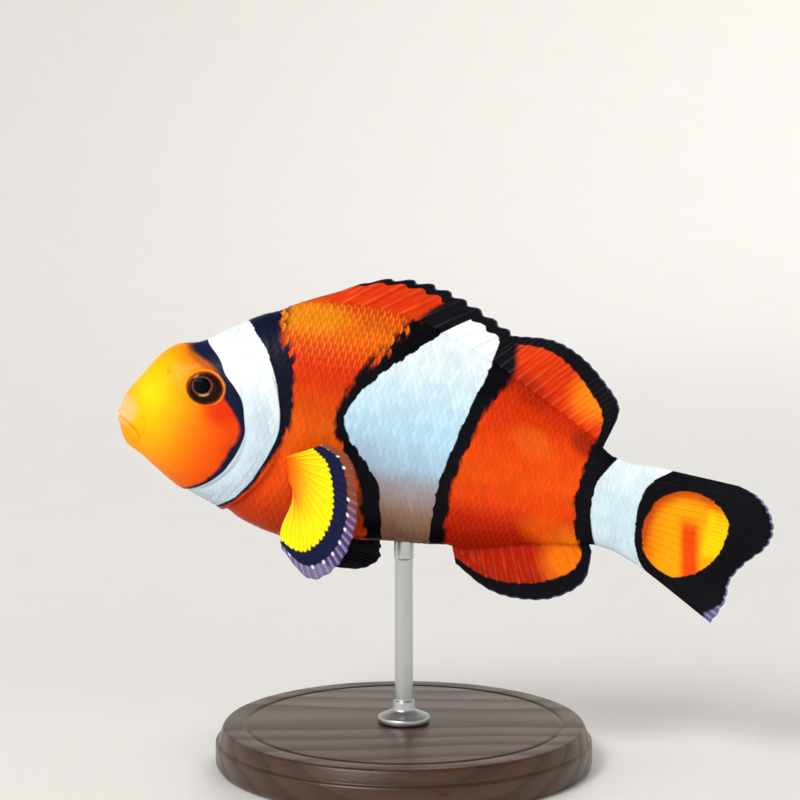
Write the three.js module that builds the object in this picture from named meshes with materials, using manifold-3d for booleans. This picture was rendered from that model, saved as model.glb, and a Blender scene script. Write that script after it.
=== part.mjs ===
// A life-size clown anemonefish on a plain display stand, in millimetres, +Z up.
// The origin is the centre of the stand's underside. The fish faces -X, its left flank is towards -Y.
import * as THREE from "three";
import { mergeVertices } from "three/addons/utils/BufferGeometryUtils.js";
import Module from "manifold-3d";

const wasm = await Module();
wasm.setup();

// ---- driving dimensions ----------------------------------------------------------------------
const NOSE_UP = THREE.MathUtils.degToRad(11); // pitch of the swimming fish
const SNOUT_X = -34.25; // tip of the snout over the stand
const SNOUT_Z = 43.65;
const GAP = 0.3; // parting width between neighbouring pieces
const WIDE = 40; // longer than any cut has to reach across the fish

const BASE_RADIUS = 23;
const BASE_HEIGHT = 5;
const BASE_BEVEL = 1;
const ROD_RADIUS = 1.2;
const FOOT_RADIUS = 3.2; // the turned foot of the rod
const FOOT_HEIGHT = 1.4;

const EYE_RADIUS = 2.5;
const EYE_X = 9.5;
const EYE_HEIGHT = 4.45;
const EYE_OFFSET = 3.75; // centre of each eyeball from the middle plane

const FIN_ROOT = 1.0; // thickness of a fin where it leaves the body
const FIN_EDGE = 0.5;
const ROOT_DEPTH = 1.2; // how deep a median fin starts inside the back or belly line

const SWEEP_START = 30; // the body bends sideways behind this length
const SWEEP_SPAN = 50;
const TAIL_SWEEP = 6; // sideways travel at the tip of the tail

// Body stations from snout to tail stalk: length, back line, belly line, half width.
const STATIONS = [
  [-0.12, -0.6, -0.6, 0],
  [0.4, 1.9, -2.1, 1.05],
  [1.5, 3.9, -3.85, 2.25],
  [3.6, 7.3, -5.0, 3.5],
  [5.6, 9.05, -6.2, 4.35],
  [8.4, 9.95, -7.75, 5.2],
  [12.2, 12.8, -8.8, 6.0],
  [16.8, 15.3, -10.45, 6.4],
  [22, 16.4, -11.55, 6.45],
  [28, 16.9, -11.0, 6.05],
  [34, 16.2, -9.8, 5.35],
  [40, 14.35, -9.1, 4.55],
  [46, 11.8, -7.7, 3.65],
  [52, 8.85, -5.95, 2.65],
  [57, 6.5, -5.1, 1.95],
  [61.5, 5.5, -5.4, 1.5],
  [65.6, 5.3, -6.2, 0.55],
  [66, -0.5, -0.5, 0],
];
const EGG = 0.12; // how much narrower a section is above its middle than below
const AROUND = 24; // facets round the body
const ALONG = 40; // facets from snout to stalk
const CRUMB = 1; // cubic millimetres; cuts leave nothing smaller

// ---- solids ----------------------------------------------------------------------------------
const mix = THREE.MathUtils.lerp;

function solidOf(geometry) {
  const bare = geometry.clone();
  bare.deleteAttribute("normal");
  bare.deleteAttribute("uv");
  const merged = mergeVertices(bare, 1e-4);
  const triVerts = new Uint32Array(merged.index.array);
  const make = () =>
    new wasm.Manifold(
      new wasm.Mesh({ numProp: 3, vertProperties: merged.attributes.position.array, triVerts }),
    );
  const solid = make();
  if (solid.volume() > 0) return solid;
  for (let i = 0; i < triVerts.length; i += 3)
    [triVerts[i], triVerts[i + 1]] = [triVerts[i + 1], triVerts[i]];
  return make();
}

function geometryOf(solid) {
  const mesh = solid.getMesh();
  const position = new THREE.BufferAttribute(new Float32Array(mesh.vertProperties), 3);
  return new THREE.BufferGeometry()
    .setAttribute("position", position)
    .setIndex(new THREE.BufferAttribute(new Uint32Array(mesh.triVerts), 1));
}

// The largest body of a solid, without the slivers that a cut can leave.
function mainBody(solid) {
  return solid.decompose().sort((a, b) => b.volume() - a.volume())[0];
}

const plane = (points) => new THREE.SplineCurve(points.map(([x, z]) => new THREE.Vector2(x, z)));
const space = (points) =>
  new THREE.CatmullRomCurve3(points.map(([x, y, z]) => new THREE.Vector3(x, y, z)));

const backLine = plane(STATIONS.map(([x, back]) => [x, back]));
const bellyLine = plane(STATIONS.map(([x, , belly]) => [x, belly]));
const sideLine = plane(STATIONS.map(([x, , , side]) => [x, side]));

function sway(x) {
  const along = Math.max(0, (x - SWEEP_START) / SWEEP_SPAN);
  return -TAIL_SWEEP * along * along;
}

// Where a line of the body reaches a given length.
function stationAt(x) {
  let [low, high] = [0, 1];
  for (let i = 0; i < 24; i++) {
    const middle = (low + high) / 2;
    if (backLine.getPoint(middle).x < x) low = middle;
    else high = middle;
  }
  return low;
}
const backAt = (x) => backLine.getPoint(stationAt(x)).y;
const bellyAt = (x) => bellyLine.getPoint(stationAt(x)).y;

// A point of the body's surface: t runs from snout to stalk, angle from the back round the left flank.
// A grown body stands off by that much all round, and past both ends.
function bodyPoint(t, angle, grow) {
  const { x, y: back } = backLine.getPoint(t);
  const belly = bellyLine.getPoint(t).y;
  const half = Math.max(0, sideLine.getPoint(t).y);
  const [c, s] = [Math.cos(angle), Math.sin(angle)];
  const atEnd = t <= 0 || t >= 1;
  const swollen = atEnd ? 0 : grow;
  const across = (half + swollen) * Math.abs(s) ** (1 + EGG * c);
  const up = (back + belly) / 2 + ((back - belly) / 2 + swollen) * c;
  const pastEnd = grow * (2 * t - 1) ** 9;
  return new THREE.Vector3(x + pastEnd, sway(x) - Math.sign(s) * across, up);
}

function bodySolid(grow = 0) {
  const ball = new THREE.SphereGeometry(1, AROUND, ALONG);
  const { position, uv } = ball.attributes;
  for (let i = 0; i < position.count; i++) {
    const turn = Math.round(uv.getX(i) * 2 * AROUND) / (2 * AROUND);
    const point = bodyPoint(1 - uv.getY(i), 2 * Math.PI * turn, grow);
    position.setXYZ(i, point.x, point.y, point.z);
  }
  return solidOf(ball);
}

// A unit slab bent to a fin: middle(t, r) is its middle surface, t across the rays, r along them.
function finSolid(middle, across, out) {
  const slab = new THREE.BoxGeometry(1, 1, 1, across, 1, out);
  const place = slab.attributes.position;
  const STEP = 1e-3;
  const surface = (t, r) => new THREE.Vector3(...middle(t, r));
  for (let i = 0; i < place.count; i++) {
    const [t, side, r] = [place.getX(i) + 0.5, place.getY(i), place.getZ(i) + 0.5];
    const [t0, r0] = [Math.min(t, 1 - STEP), Math.min(r, 1 - STEP)];
    const alongT = surface(t0 + STEP, r).sub(surface(t0, r));
    const alongR = surface(t, r0 + STEP).sub(surface(t, r0));
    const normal = alongT.cross(alongR).normalize();
    const point = surface(t, r).addScaledVector(normal, side * mix(FIN_ROOT, FIN_EDGE, r));
    place.setXYZ(i, point.x, point.y, point.z);
  }
  return solidOf(slab);
}

// Extrudes a closed outline in the length-height plane across the fish, from one y to another.
function prism(outline, from, to) {
  const shape = new THREE.Shape(outline.map(([x, z]) => new THREE.Vector2(x, z)));
  const geometry = new THREE.ExtrudeGeometry(shape, { depth: to - from, bevelEnabled: false });
  return solidOf(geometry.rotateX(Math.PI / 2).translate(0, to, 0));
}

// A thin cut along a curve of the length-height plane, right across the fish.
function thinCut(points, width = GAP) {
  const curve = plane(points);
  const steps = 12;
  const sides = [-width / 2, width / 2].map((offset) =>
    Array.from({ length: steps + 1 }, (_, i) => {
      const point = curve.getPoint(i / steps);
      const tangent = curve.getTangent(i / steps);
      return [point.x - tangent.y * offset, point.y + tangent.x * offset];
    }),
  );
  return prism([...sides[0], ...sides[1].reverse()], -WIDE / 2, WIDE / 2);
}

// ---- the body in lengths ---------------------------------------------------------------------
const whole = bodySolid();
const grown = bodySolid(GAP);

const GILL_EDGE = [[12.6, 20], [16.6, 10], [19, 5], [19.8, 0], [18.7, -4.4], [15.6, -8.6], [10.4, -13]];
const CHEEK_EDGE = [
  [20.5, 9], [16.4, 8.4], [14.4, 6.6], [14.7, 3.6],
  [15.8, 0], [14.9, -3.6], [12.3, -6.6], [9.2, -8.2], [6, -10],
];
const MIDDLE_CUT = [[36.5, 20], [34.6, 8], [34.4, -2], [36, -13]];
const STALK_CUT = [[58.8, 9], [57.6, 3], [57.8, -2], [59.4, -9]];
const MOUTH_CUT = [[-2, -0.7], [0.6, -1.05], [2.7, -1.9], [3.3, -3], [2.7, -5.6], [2.4, -8]];
const COVER_DEPTH = 0.9; // thickness of a gill cover
const THROAT_HALF_WIDTH = 0.7; // the strip of the head between the two gill covers

const lengths = [GILL_EDGE, MIDDLE_CUT, STALK_CUT]
  .reduce((rest, line) => rest.subtract(thinCut(line)), whole)
  .decompose()
  .sort((a, b) => a.boundingBox().min[0] - b.boundingBox().min[0]);
const [headLength, foreTrunk, rearTrunk, tailStalk] = lengths;

const eyeGeometry = (radius, side) =>
  new THREE.SphereGeometry(radius, 18, 12)
    .rotateX(Math.PI / 2)
    .translate(EYE_X, side * EYE_OFFSET, EYE_HEIGHT);
const sockets = [-1, 1].map((side) => solidOf(eyeGeometry(EYE_RADIUS + GAP, side)));

// The head's wall behind the cheek edge, and the same room with the gap round it.
const coverOutline = [
  ...plane(CHEEK_EDGE).getPoints(12).map(({ x, y }) => [x, y]),
  [6, -14],
  [24, -14],
  [24, 9],
];
const cover = prism(coverOutline, -WIDE / 2, WIDE / 2);
const coverRoom = cover.add(thinCut(CHEEK_EDGE, 2 * GAP));
const throat = (halfWidth) =>
  solidOf(new THREE.BoxGeometry(WIDE, 2 * halfWidth, WIDE).translate(WIDE / 2, 0, 0));
const covers = headLength
  .intersect(cover)
  .subtract(bodySolid(-COVER_DEPTH))
  .subtract(throat(THROAT_HALF_WIDTH + GAP))
  .decompose()
  .filter((piece) => piece.volume() > CRUMB)
  .sort((a, b) => a.boundingBox().min[1] - b.boundingBox().min[1]);
const coverSeat = coverRoom
  .subtract(bodySolid(-COVER_DEPTH - GAP))
  .subtract(throat(THROAT_HALF_WIDTH));

let skull = headLength.subtract(coverSeat);
for (const socket of sockets) skull = skull.subtract(socket);
const [head, lowerJaw] = skull
  .subtract(thinCut(MOUTH_CUT))
  .decompose()
  .sort((a, b) => b.volume() - a.volume());

// ---- fins ------------------------------------------------------------------------------------
// A median fin on the back or belly line, from one length to another, out to its margin curve.
function medianFin(lineAt, inward, from, to, marginPoints, across, out) {
  const margin = plane(marginPoints);
  const middle = (t, r) => {
    const foot = mix(from, to, t);
    const edge = margin.getPoint(t);
    const x = mix(foot, edge.x, r);
    return [x, sway(x), mix(lineAt(foot) + inward, edge.y, r)];
  };
  return mainBody(finSolid(middle, across, out).subtract(grown));
}

const SPINY_MARGIN = [[17.8, 16], [23.4, 19], [28.4, 21.4], [34, 21.9], [39.6, 20.3], [45, 17.7]];
const SOFT_MARGIN = [[45.7, 17.7], [49.6, 18.1], [53.2, 16.9], [56.6, 14.4], [58.9, 11.6], [58.2, 7.6]];
const ANAL_MARGIN = [[43.4, -10.9], [47.6, -13.1], [51.6, -13.5], [55.8, -12.6], [58.9, -9.9], [59.1, -6]];

const spinyDorsal = medianFin(backAt, -ROOT_DEPTH, 16.4, 40.2, SPINY_MARGIN, 16, 3);
const softDorsal = medianFin(backAt, -ROOT_DEPTH, 40.9, 57.6, SOFT_MARGIN, 14, 4);
const analFin = medianFin(bellyAt, ROOT_DEPTH, 42, 57.8, ANAL_MARGIN, 14, 4);

// The tail fin fans from the end of the stalk, with a fold below its middle.
const TAIL_ROOT = [[65, 5.2], [65, -6.2]];
const TAIL_MARGIN = [
  [75, 5.4], [77.9, 3.8], [79.5, 0.9], [78.7, -1.7],
  [76.4, -4.3], [75.6, -6.6], [75.9, -8.9], [74.3, -11.2],
];
const TAIL_RIPPLE = 1.1;

function tailMiddle(t, r) {
  const edge = plane(TAIL_MARGIN).getPoint(t);
  const x = mix(mix(TAIL_ROOT[0][0], TAIL_ROOT[1][0], t), edge.x, r);
  const z = mix(mix(TAIL_ROOT[0][1], TAIL_ROOT[1][1], t), edge.y, r);
  return [x, sway(x) + TAIL_RIPPLE * r * r * Math.sin(2 * Math.PI * (1.2 * t - 0.45)), z];
}
const tailFin = mainBody(finSolid(tailMiddle, 18, 6).subtract(grown));

// Paired fins, drawn for the left side (y negative) and mirrored for the right.
// A fan of rays from a short root to a margin, each bowed away from the body.
function fanFin(side, root, margin, bow, across, out) {
  const [rootCurve, marginCurve] = [space(root), space(margin)];
  const middle = (t, r) => {
    const [foot, edge] = [rootCurve.getPoint(t), marginCurve.getPoint(t)];
    const point = foot.lerp(edge, r);
    return [point.x, -side * (point.y - bow * Math.sin(Math.PI * r)), point.z];
  };
  return mainBody(finSolid(middle, across, out).subtract(grown));
}

const PECTORAL_ROOT = [[20.9, -5.6, -1.1], [21.6, -5.7, -2.4], [22.1, -5.5, -3.8]];
const PECTORAL_MARGIN = [
  [25.4, -10.2, 1.9], [28.6, -11.9, 1], [30.6, -12.7, -3.4], [30.9, -12.5, -8],
  [29.5, -11.8, -12.2], [26.4, -10.7, -14.1], [22.5, -9, -11.6],
];
const PELVIC_ROOT = [[20.3, -1.7, -10.4], [22.4, -1.3, -10.4]];
const PELVIC_MARGIN = [
  [28.4, -4, -13.4], [32, -3.9, -13.1], [34.2, -3.4, -11.4], [33.4, -2.6, -9.7],
];

// ---- stand -----------------------------------------------------------------------------------
const lathe = (profile, segments) =>
  new THREE.LatheGeometry(profile.map(([r, z]) => new THREE.Vector2(r, z)), segments)
    .rotateX(Math.PI / 2);

const baseGeometry = lathe(
  [
    [0, 0],
    [BASE_RADIUS - BASE_BEVEL / 2, 0],
    [BASE_RADIUS, BASE_BEVEL / 2],
    [BASE_RADIUS, BASE_HEIGHT - BASE_BEVEL],
    [BASE_RADIUS - BASE_BEVEL, BASE_HEIGHT],
    [0, BASE_HEIGHT],
  ],
  48,
);

// ---- assembly --------------------------------------------------------------------------------
const part = new THREE.Group();
const fish = new THREE.Group();
fish.position.set(SNOUT_X, 0, SNOUT_Z);
fish.rotation.y = NOSE_UP;
fish.updateMatrix();
part.add(fish);

const material = (color, roughness, metalness = 0) =>
  new THREE.MeshStandardMaterial({ color, roughness, metalness });
const ORANGE = material(0xe85f0c, 0.45);
const YELLOW = material(0xf6a80c, 0.45);
const WHITE = material(0xe8f2f6, 0.45);
const FIN = material(0xe06010, 0.5);
const LEMON = material(0xf8d80c, 0.5);
const BLACK = material(0x0a0a14, 0.5);
const EYE = material(0x120c0a, 0.1);
const WOOD = material(0x3a2416, 0.4);
const STEEL = material(0xb8bcc0, 0.3, 1);

function addPiece(parent, name, solid, finish) {
  const mesh = new THREE.Mesh(solid.isBufferGeometry ? solid : geometryOf(solid), finish);
  mesh.name = name;
  parent.add(mesh);
}

addPiece(fish, "head", head, YELLOW);
addPiece(fish, "lower_jaw", lowerJaw, YELLOW);
addPiece(fish, "trunk_fore", foreTrunk, ORANGE);
addPiece(fish, "trunk_rear", rearTrunk, ORANGE);
addPiece(fish, "tail_stalk", tailStalk, WHITE);
addPiece(fish, "tail_fin", tailFin, BLACK);
addPiece(fish, "dorsal_fin_spiny", spinyDorsal, FIN);
addPiece(fish, "dorsal_fin_soft", softDorsal, FIN);
addPiece(fish, "anal_fin", analFin, FIN);
for (const [i, side] of [-1, 1].entries()) {
  const hand = side < 0 ? "left" : "right";
  addPiece(fish, `eye_${hand}`, solidOf(eyeGeometry(EYE_RADIUS, side)), EYE);
  addPiece(fish, `gill_cover_${hand}`, covers[i], WHITE);
  const pectoral = fanFin(side, PECTORAL_ROOT, PECTORAL_MARGIN, 0.9, 14, 6);
  addPiece(fish, `pectoral_fin_${hand}`, pectoral, LEMON);
  const pelvic = fanFin(side, PELVIC_ROOT, PELVIC_MARGIN, 0.4, 8, 6);
  addPiece(fish, `pelvic_fin_${hand}`, pelvic, FIN);
}

const rodFoot = BASE_HEIGHT + GAP;
const rodGeometry = lathe(
  [
    [0, rodFoot],
    [FOOT_RADIUS, rodFoot],
    [FOOT_RADIUS, rodFoot + FOOT_HEIGHT / 2],
    [ROD_RADIUS, rodFoot + FOOT_HEIGHT],
    [ROD_RADIUS, SNOUT_Z],
    [0, SNOUT_Z],
  ],
  24,
);
const placedFish = solidOf(geometryOf(grown).applyMatrix4(fish.matrix));
const rod = solidOf(rodGeometry)
  .subtract(placedFish)
  .decompose()
  .sort((a, b) => a.boundingBox().min[2] - b.boundingBox().min[2])[0];

addPiece(part, "stand_base", baseGeometry, WOOD);
addPiece(part, "stand_rod", rod, STEEL);

export default part;
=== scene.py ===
"""A life-size clown anemonefish on a plain display stand: skin, scales, fins, eyes, stand and stage."""
import math

import bmesh
import bpy
import numpy as np
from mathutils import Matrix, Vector
from bpy.props import FloatProperty, FloatVectorProperty, IntProperty, PointerProperty


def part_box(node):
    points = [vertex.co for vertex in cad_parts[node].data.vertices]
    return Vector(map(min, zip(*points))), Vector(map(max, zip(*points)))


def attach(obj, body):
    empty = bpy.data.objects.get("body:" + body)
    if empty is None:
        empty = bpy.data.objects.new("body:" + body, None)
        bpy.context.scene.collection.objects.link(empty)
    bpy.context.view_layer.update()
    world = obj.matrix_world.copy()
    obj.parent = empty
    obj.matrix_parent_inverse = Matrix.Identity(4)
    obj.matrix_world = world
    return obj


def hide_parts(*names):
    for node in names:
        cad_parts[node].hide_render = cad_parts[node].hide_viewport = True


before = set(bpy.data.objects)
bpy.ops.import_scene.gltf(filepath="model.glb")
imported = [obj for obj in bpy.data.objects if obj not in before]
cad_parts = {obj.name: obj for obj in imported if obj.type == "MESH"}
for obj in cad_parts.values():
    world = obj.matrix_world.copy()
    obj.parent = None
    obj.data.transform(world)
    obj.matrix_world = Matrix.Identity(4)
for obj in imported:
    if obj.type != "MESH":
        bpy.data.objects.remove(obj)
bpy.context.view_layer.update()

bl_info = {
    "name": "Clown anemonefish",
    "version": (1, 0, 0),
    "blender": (4, 5, 0),
    "location": "3D View > Sidebar > Clownfish",
    "description": "Dresses a life-size clown anemonefish and its display stand",
    "category": "Add Mesh",
}

# ---- the fish's plan: millimetres, length from the snout, height from its middle line ----------
MM = 0.001
NOSE_UP = math.radians(11)
SNOUT = (-34.25, 0.0, 43.65)
SWEEP_START, SWEEP_SPAN, TAIL_SWEEP = 30.0, 50.0, 6.0
EGG = 0.12  # how much narrower a section is towards the back than towards the belly
BACK, BELLY = 1, 2  # the columns of these two lines
STATIONS = [  # length, back line, belly line, half width
    (-0.12, -0.6, -0.6, 0),
    (0.4, 1.9, -2.1, 1.05),
    (1.5, 3.9, -3.85, 2.25),
    (3.6, 7.3, -5.0, 3.5),
    (5.6, 9.05, -6.2, 4.35),
    (8.4, 9.95, -7.75, 5.2),
    (12.2, 12.8, -8.8, 6.0),
    (16.8, 15.3, -10.45, 6.4),
    (22, 16.4, -11.55, 6.45),
    (28, 16.9, -11.0, 6.05),
    (34, 16.2, -9.8, 5.35),
    (40, 14.35, -9.1, 4.55),
    (46, 11.8, -7.7, 3.65),
    (52, 8.85, -5.95, 2.65),
    (57, 6.5, -5.1, 1.95),
    (61.5, 5.5, -5.4, 1.5),
    (65.6, 5.3, -6.2, 0.55),
    (66, -0.5, -0.5, 0),
]
FLESH_NODES = (
    "head", "lower_jaw", "gill_cover_left", "gill_cover_right", "trunk_fore", "trunk_rear", "tail_stalk",
)
GILL_EDGE = [(12.6, 20), (16.6, 10), (19, 5), (19.8, 0), (18.7, -4.4), (15.6, -8.6), (10.4, -13)]
CHEEK_EDGE = [
    (20.5, 9), (16.4, 8.4), (14.4, 6.6), (14.7, 3.6),
    (15.8, 0), (14.9, -3.6), (12.3, -6.6), (9.2, -8.2), (6, -10),
]
CHEEK_TEETH = 46  # fine teeth along the cheek's edge
MOUTH = [(-0.6, -0.55), (0.6, -0.95), (1.7, -1.4), (2.6, -1.95), (3.1, -2.6)]
LIP_FOLD = [(0.9, 2.5), (2.2, 1.5), (3.3, 0.0), (3.8, -1.7), (3.5, -3.6)]
EYE_BONE = [(5.2, 2.6), (7.0, 1.3), (9.3, 0.8), (11.6, 1.4), (13.1, 3.0)]
NOSTRIL = (5.3, 5.9)
EYE_SET = (0.44, 0.44)  # how far the eye's opening sits back and up from the middle of its solid
EYE_OVAL = (1.07, 0.92)  # length and height of the opening as shares of a round one
EYE_TURN, EYE_TILT = math.radians(13), math.radians(11)  # the eye faces a little forwards and up
EYE_SHOULDER = 0.545  # how far out the iris's edge lies, as a share of the eye's radius
PUPIL_SET = (-0.32, 0.24)  # how far the pupil sits back and up from the middle of the opening
PAINTED_GLINT_TURN = -1.25  # where the painted gold glint of light at the pupil's edge is brightest, in radians above the eye's rear
PAINTED_HIGHLIGHT_TURN = 2.3  # where the painted highlight on the iris lies, in radians above the eye's rear
CORNEA_INSIDE = 0.975  # the clear dome's inner radius as a share of its outer one
CORNEA_SPAN = 0.86  # how far the clear dome reaches round, as a share of the eye's radius
LATERAL_LINE_DEPTH = 4.2  # below the back, along the flank
CREST = 0.95  # height of the skin's ridge at the foot of a fin
FIN_SEAT = 1.2  # how deep the feet of the dorsal and anal fins sit in the body
SIDE_FIN_ROOT = (21.8, -2.6)  # where the skin rises round the side fin's root

SPINY_MARGIN = [(17.8, 16), (23.4, 19), (28.4, 21.4), (34, 21.9), (39.6, 20.3), (45.4, 17.7)]
SOFT_MARGIN = [(45.4, 17.7), (49.6, 18.1), (53.2, 16.9), (56.6, 14.4), (58.9, 11.6), (58.2, 7.6)]
ANAL_MARGIN = [(43.4, -10.9), (47.6, -13.1), (51.6, -13.5), (55.8, -12.6), (58.9, -9.9), (59.1, -6)]
TAIL_ROOT = [(64.6, 5.62), (64.8, -6.4)]
TAIL_MARGIN = [
    (74.5, 5.5), (76.5, 4.95), (78.2, 3.55), (79.4, 1.2), (79.1, -1.2),
    (77.2, -3.6), (75.8, -5.9), (75.5, -8.4), (74.3, -11.2),
]
PECTORAL_ROOT = [(20.9, -5.6, -1.1), (21.6, -5.7, -2.4), (22.1, -5.5, -3.8)]
PECTORAL_MARGIN = [
    (25.4, -10.2, 1.9), (28.4, -11.8, 0.8), (30.1, -12.6, -3.5), (30.4, -12.4, -8),
    (29.2, -11.7, -12.1), (26.4, -10.7, -14.1), (22.5, -9, -11.6),
]
PELVIC_ROOT = [(20.3, -1.7, -10.4), (22.4, -1.3, -10.4)]
PELVIC_MARGIN = [(28.4, -4, -13.4), (32, -3.9, -13.1), (34.2, -3.4, -11.4), (33.4, -2.6, -9.7)]
PECTORAL_PLACES = [0, 0.12, 0.3, 0.5, 0.7, 0.85, 1]  # across the side fin
PECTORAL_YELLOW = [0.68, 0.61, 0.65, 0.69, 0.71, 0.74, 0.88]  # how far out the yellow ends there
PECTORAL_NAVY = [0.86, 0.84, 0.86, 0.88, 0.88, 0.87, 0.93]  # and the navy border

# Edges of the three white bands, as (height, length), and how far the black reaches beyond them.
HEAD_BAND_FRONT = [(12, 7.4), (10.1, 9.05), (8.6, 10.95), (6.9, 12.15), (5.5, 13.7), (4.3, 14.6),
                   (2.5, 15.2), (0.6, 15.6), (-1.1, 15.35), (-3.1, 14.6), (-5, 13.5), (-6.8, 11.6),
                   (-7.9, 9.9), (-9, 8)]
HEAD_BAND_REAR = [(17, 10.6), (13.2, 13.6), (12.4, 14.6), (10.2, 16.5), (7.9, 17.85), (5.5, 18.75),
                  (3, 19.4), (1.4, 19.45), (-0.8, 18.95), (-3.3, 18.05), (-5.2, 17.2), (-7.9, 15.1),
                  (-11, 11)]
MIDDLE_BAND_FRONT = [(20, 41.6), (16.75, 36.9), (13.3, 33), (9.8, 29.5), (5.1, 26.8), (3.2, 27.2),
                     (0.55, 29.65), (-2.4, 32.1), (-5, 32.9), (-9, 33.8), (-13, 34.2)]
MIDDLE_BAND_REAR = [(20, 43.6), (14.4, 43.0), (8.2, 41.15), (4.1, 40.2), (-1.2, 39.25),
                    (-5.1, 39.3), (-8.8, 39.6), (-13, 40.2)]
TAIL_BAND_FRONT = [(7, 61), (5.5, 59.7), (4, 58.7), (2.4, 57.9), (0.6, 57.7), (-1.3, 57.9),
                   (-3, 58.3), (-5, 59.2), (-7, 60.6)]
TAIL_BAND_REAR = [(7, 68.4), (5, 65.8), (3.8, 64.35), (2.1, 63.5), (0.2, 63.25), (-0.8, 63.3),
                  (-3, 63.6), (-5.5, 64.6), (-7.5, 66.5)]
HEAD_BLACK_FRONT = [(12, 2.2), (10, 2.3), (9.1, 3.3), (8.3, 2.4), (7.4, 1.15), (6.4, 1.0), (5.3, 1.85),
                    (4.6, 2.2), (3.6, 1.75), (2.6, 1.0), (0.7, 0.6), (-1.5, 0.85), (-4, 0.75), (-7, 0.6)]
HEAD_BLACK_REAR = [(15, 5.4), (13.6, 4.8), (12, 3.2), (10, 2.7), (8, 2.5), (6, 1.75), (4, 1.5), (2, 1.0),
                   (0.5, 0.8), (-2, 0.6), (-9, 0.6)]
MIDDLE_BLACK_FRONT = [(16, 4.0), (13, 2.9), (10, 2.2), (5, 1.1), (2, 1.7), (-2, 2.4), (-5, 2.4), (-9, 2.1)]
MIDDLE_BLACK_REAR = [(22, 2.2), (16, 2.5), (13, 3.2), (11, 2.7), (9.2, 2.1), (4, 1.75), (-2, 1.7), (-9, 1.8)]
TAIL_BLACK_FRONT = [(7, 4.2), (5, 3.2), (4, 2.7), (2, 1.9), (0, 2.1), (-4, 2.1), (-7, 2.3)]
BANDS = [  # front edge, rear edge, and the widths of the black before and behind it
    (HEAD_BAND_FRONT, HEAD_BAND_REAR, HEAD_BLACK_FRONT, HEAD_BLACK_REAR),
    (MIDDLE_BAND_FRONT, MIDDLE_BAND_REAR, MIDDLE_BLACK_FRONT, MIDDLE_BLACK_REAR),
    (TAIL_BAND_FRONT, TAIL_BAND_REAR, TAIL_BLACK_FRONT, None),
]
PLAN_HEIGHTS = (-16.0, 24.0)  # the heights that the band edges run between
PLAN_LENGTH, WIDEST_BLACK = 80.0, 8.0  # the most that the edges' and the widths' curves can hold
WHITE_BLEND = 0.07  # half the width of the white's soft edge
TAIL_SPOT, TAIL_SPOT_RADIUS = (69.5, -1.65), 5.2  # the orange spot on the tail fin

# ---- colours ---------------------------------------------------------------------------------
COLOUR_HEIGHTS = (-12.0, 20.0)  # the heights that the next three lists run between
# Ground colours by height: darker towards the belly, partly the fish's own colour and partly painted shade
# under the body.
FRONT_GROUND = [
    (-12, "b42c04"), (-8, "d23802"), (-5, "e84602"), (0, "e65203"), (3, "e85a03"), (6, "de4402"),
    (8, "da3602"), (10, "dc2c02"), (12, "e23c02"), (13.6, "ea5a04"), (15.9, "e86206"), (17.2, "d83a02"),
    (19, "d83004"),
]
REAR_GROUND = [
    (-13, "a01602"), (-8, "b81802"), (-6, "bc1a02"), (-4.5, "ce2002"), (-2.2, "f24203"), (1, "f65003"),
    (4, "f04603"), (8, "dc3202"), (12, "d02c02"), (16, "d83402"),
]
# By height under the middle band: pale blue high up, then grey and brown below, painted shade under the
# belly with a warm painted reflection.
MIDDLE_BAND_WHITE_AND_SHADE = [
    (-10, "80584a"), (-8, "8c6450"), (-6, "9a7860"), (-4, "ac948e"), (-2, "aaa8b0"), (0, "b4d0e6"),
    (4, "bee4f9"), (8, "cdeaf8"), (12, "e8f7fc"), (15, "f2fbfd"),
]
CHEEK, CHEEK_REACH = (3.6, 3.1), 14.0  # the brightest place on the head, and how far its colours run
HEAD_GROUND = [
    (0.0, "ffd604"), (0.17, "ffc204"), (0.29, "feac03"), (0.46, "fc9003"), (0.61, "f97603"),
    (0.79, "f45c04"), (1.0, "e04404"),
]
SHADES = [  # soft patches over the ground: length, height, half length, half height, tilt, share, colour
    (0.5, 0.2, 2.3, 2.4, 0, 0.75, "f4c48c"),  # lips
    (8.8, 8.9, 3.4, 2.0, 20, 0.6, "d8640c"),  # brow
    (9.0, 7.9, 3.4, 0.9, -24, 0.6, "8a4814"),  # its dusky edge along the black
    (12.4, 3.0, 3.3, 3.2, 0, 0.85, "de2c04"),  # cheek behind the eye
    # Gold on the nape: partly the scales' own colour, partly a painted sheen.
    (20.8, 15.3, 6.5, 2.6, 6, 0.6, "f2940e"),  # nape scales
    (30, 16.6, 6.0, 2.2, -4, 0.5, "d8460a"),  # back below the front dorsal fin
    # The next three patches are partly the fin foot's own dark red and partly painted shadow; the lighter
    # flank patch below them is partly painted light.
    (48.2, 11.4, 4.4, 2.2, -30, 0.85, "a81c02"),  # foot of the rear dorsal fin
    (51.6, 9.2, 5.5, 1.8, -30, 0.45, "c02002"),  # its middle
    (55.7, 6.7, 3.0, 1.9, -30, 0.85, "941202"),  # its darker rear end
    (56.2, 12.4, 4.6, 4.4, 0, 0.95, "fc8406"),  # its rear corner
    (49.6, 5.6, 4.6, 2.4, -25, 0.4, "fa7210"),  # flank below it
    (30.8, -5.5, 2.0, 4.2, 0, 0.9, "8c3206"),  # in the shade of the side fin
    (53.4, -4.4, 5.0, 2.8, -8, 0.85, "fc5a03"),  # flank over the anal fin
    (56.6, -7.4, 4.6, 5.2, 0, 0.95, "fa7a04"),  # rear corner of the anal fin
]
FAN_YELLOW = [
    (0.04, "ee6206"), (0.09, "f98c08"), (0.15, "fdc80a"), (0.22, "ffe80c"), (0.31, "fff00c"),
]
IRIS_RADIUS = 2.6  # millimetres from the pupil's middle to the last of the iris's colours
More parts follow.
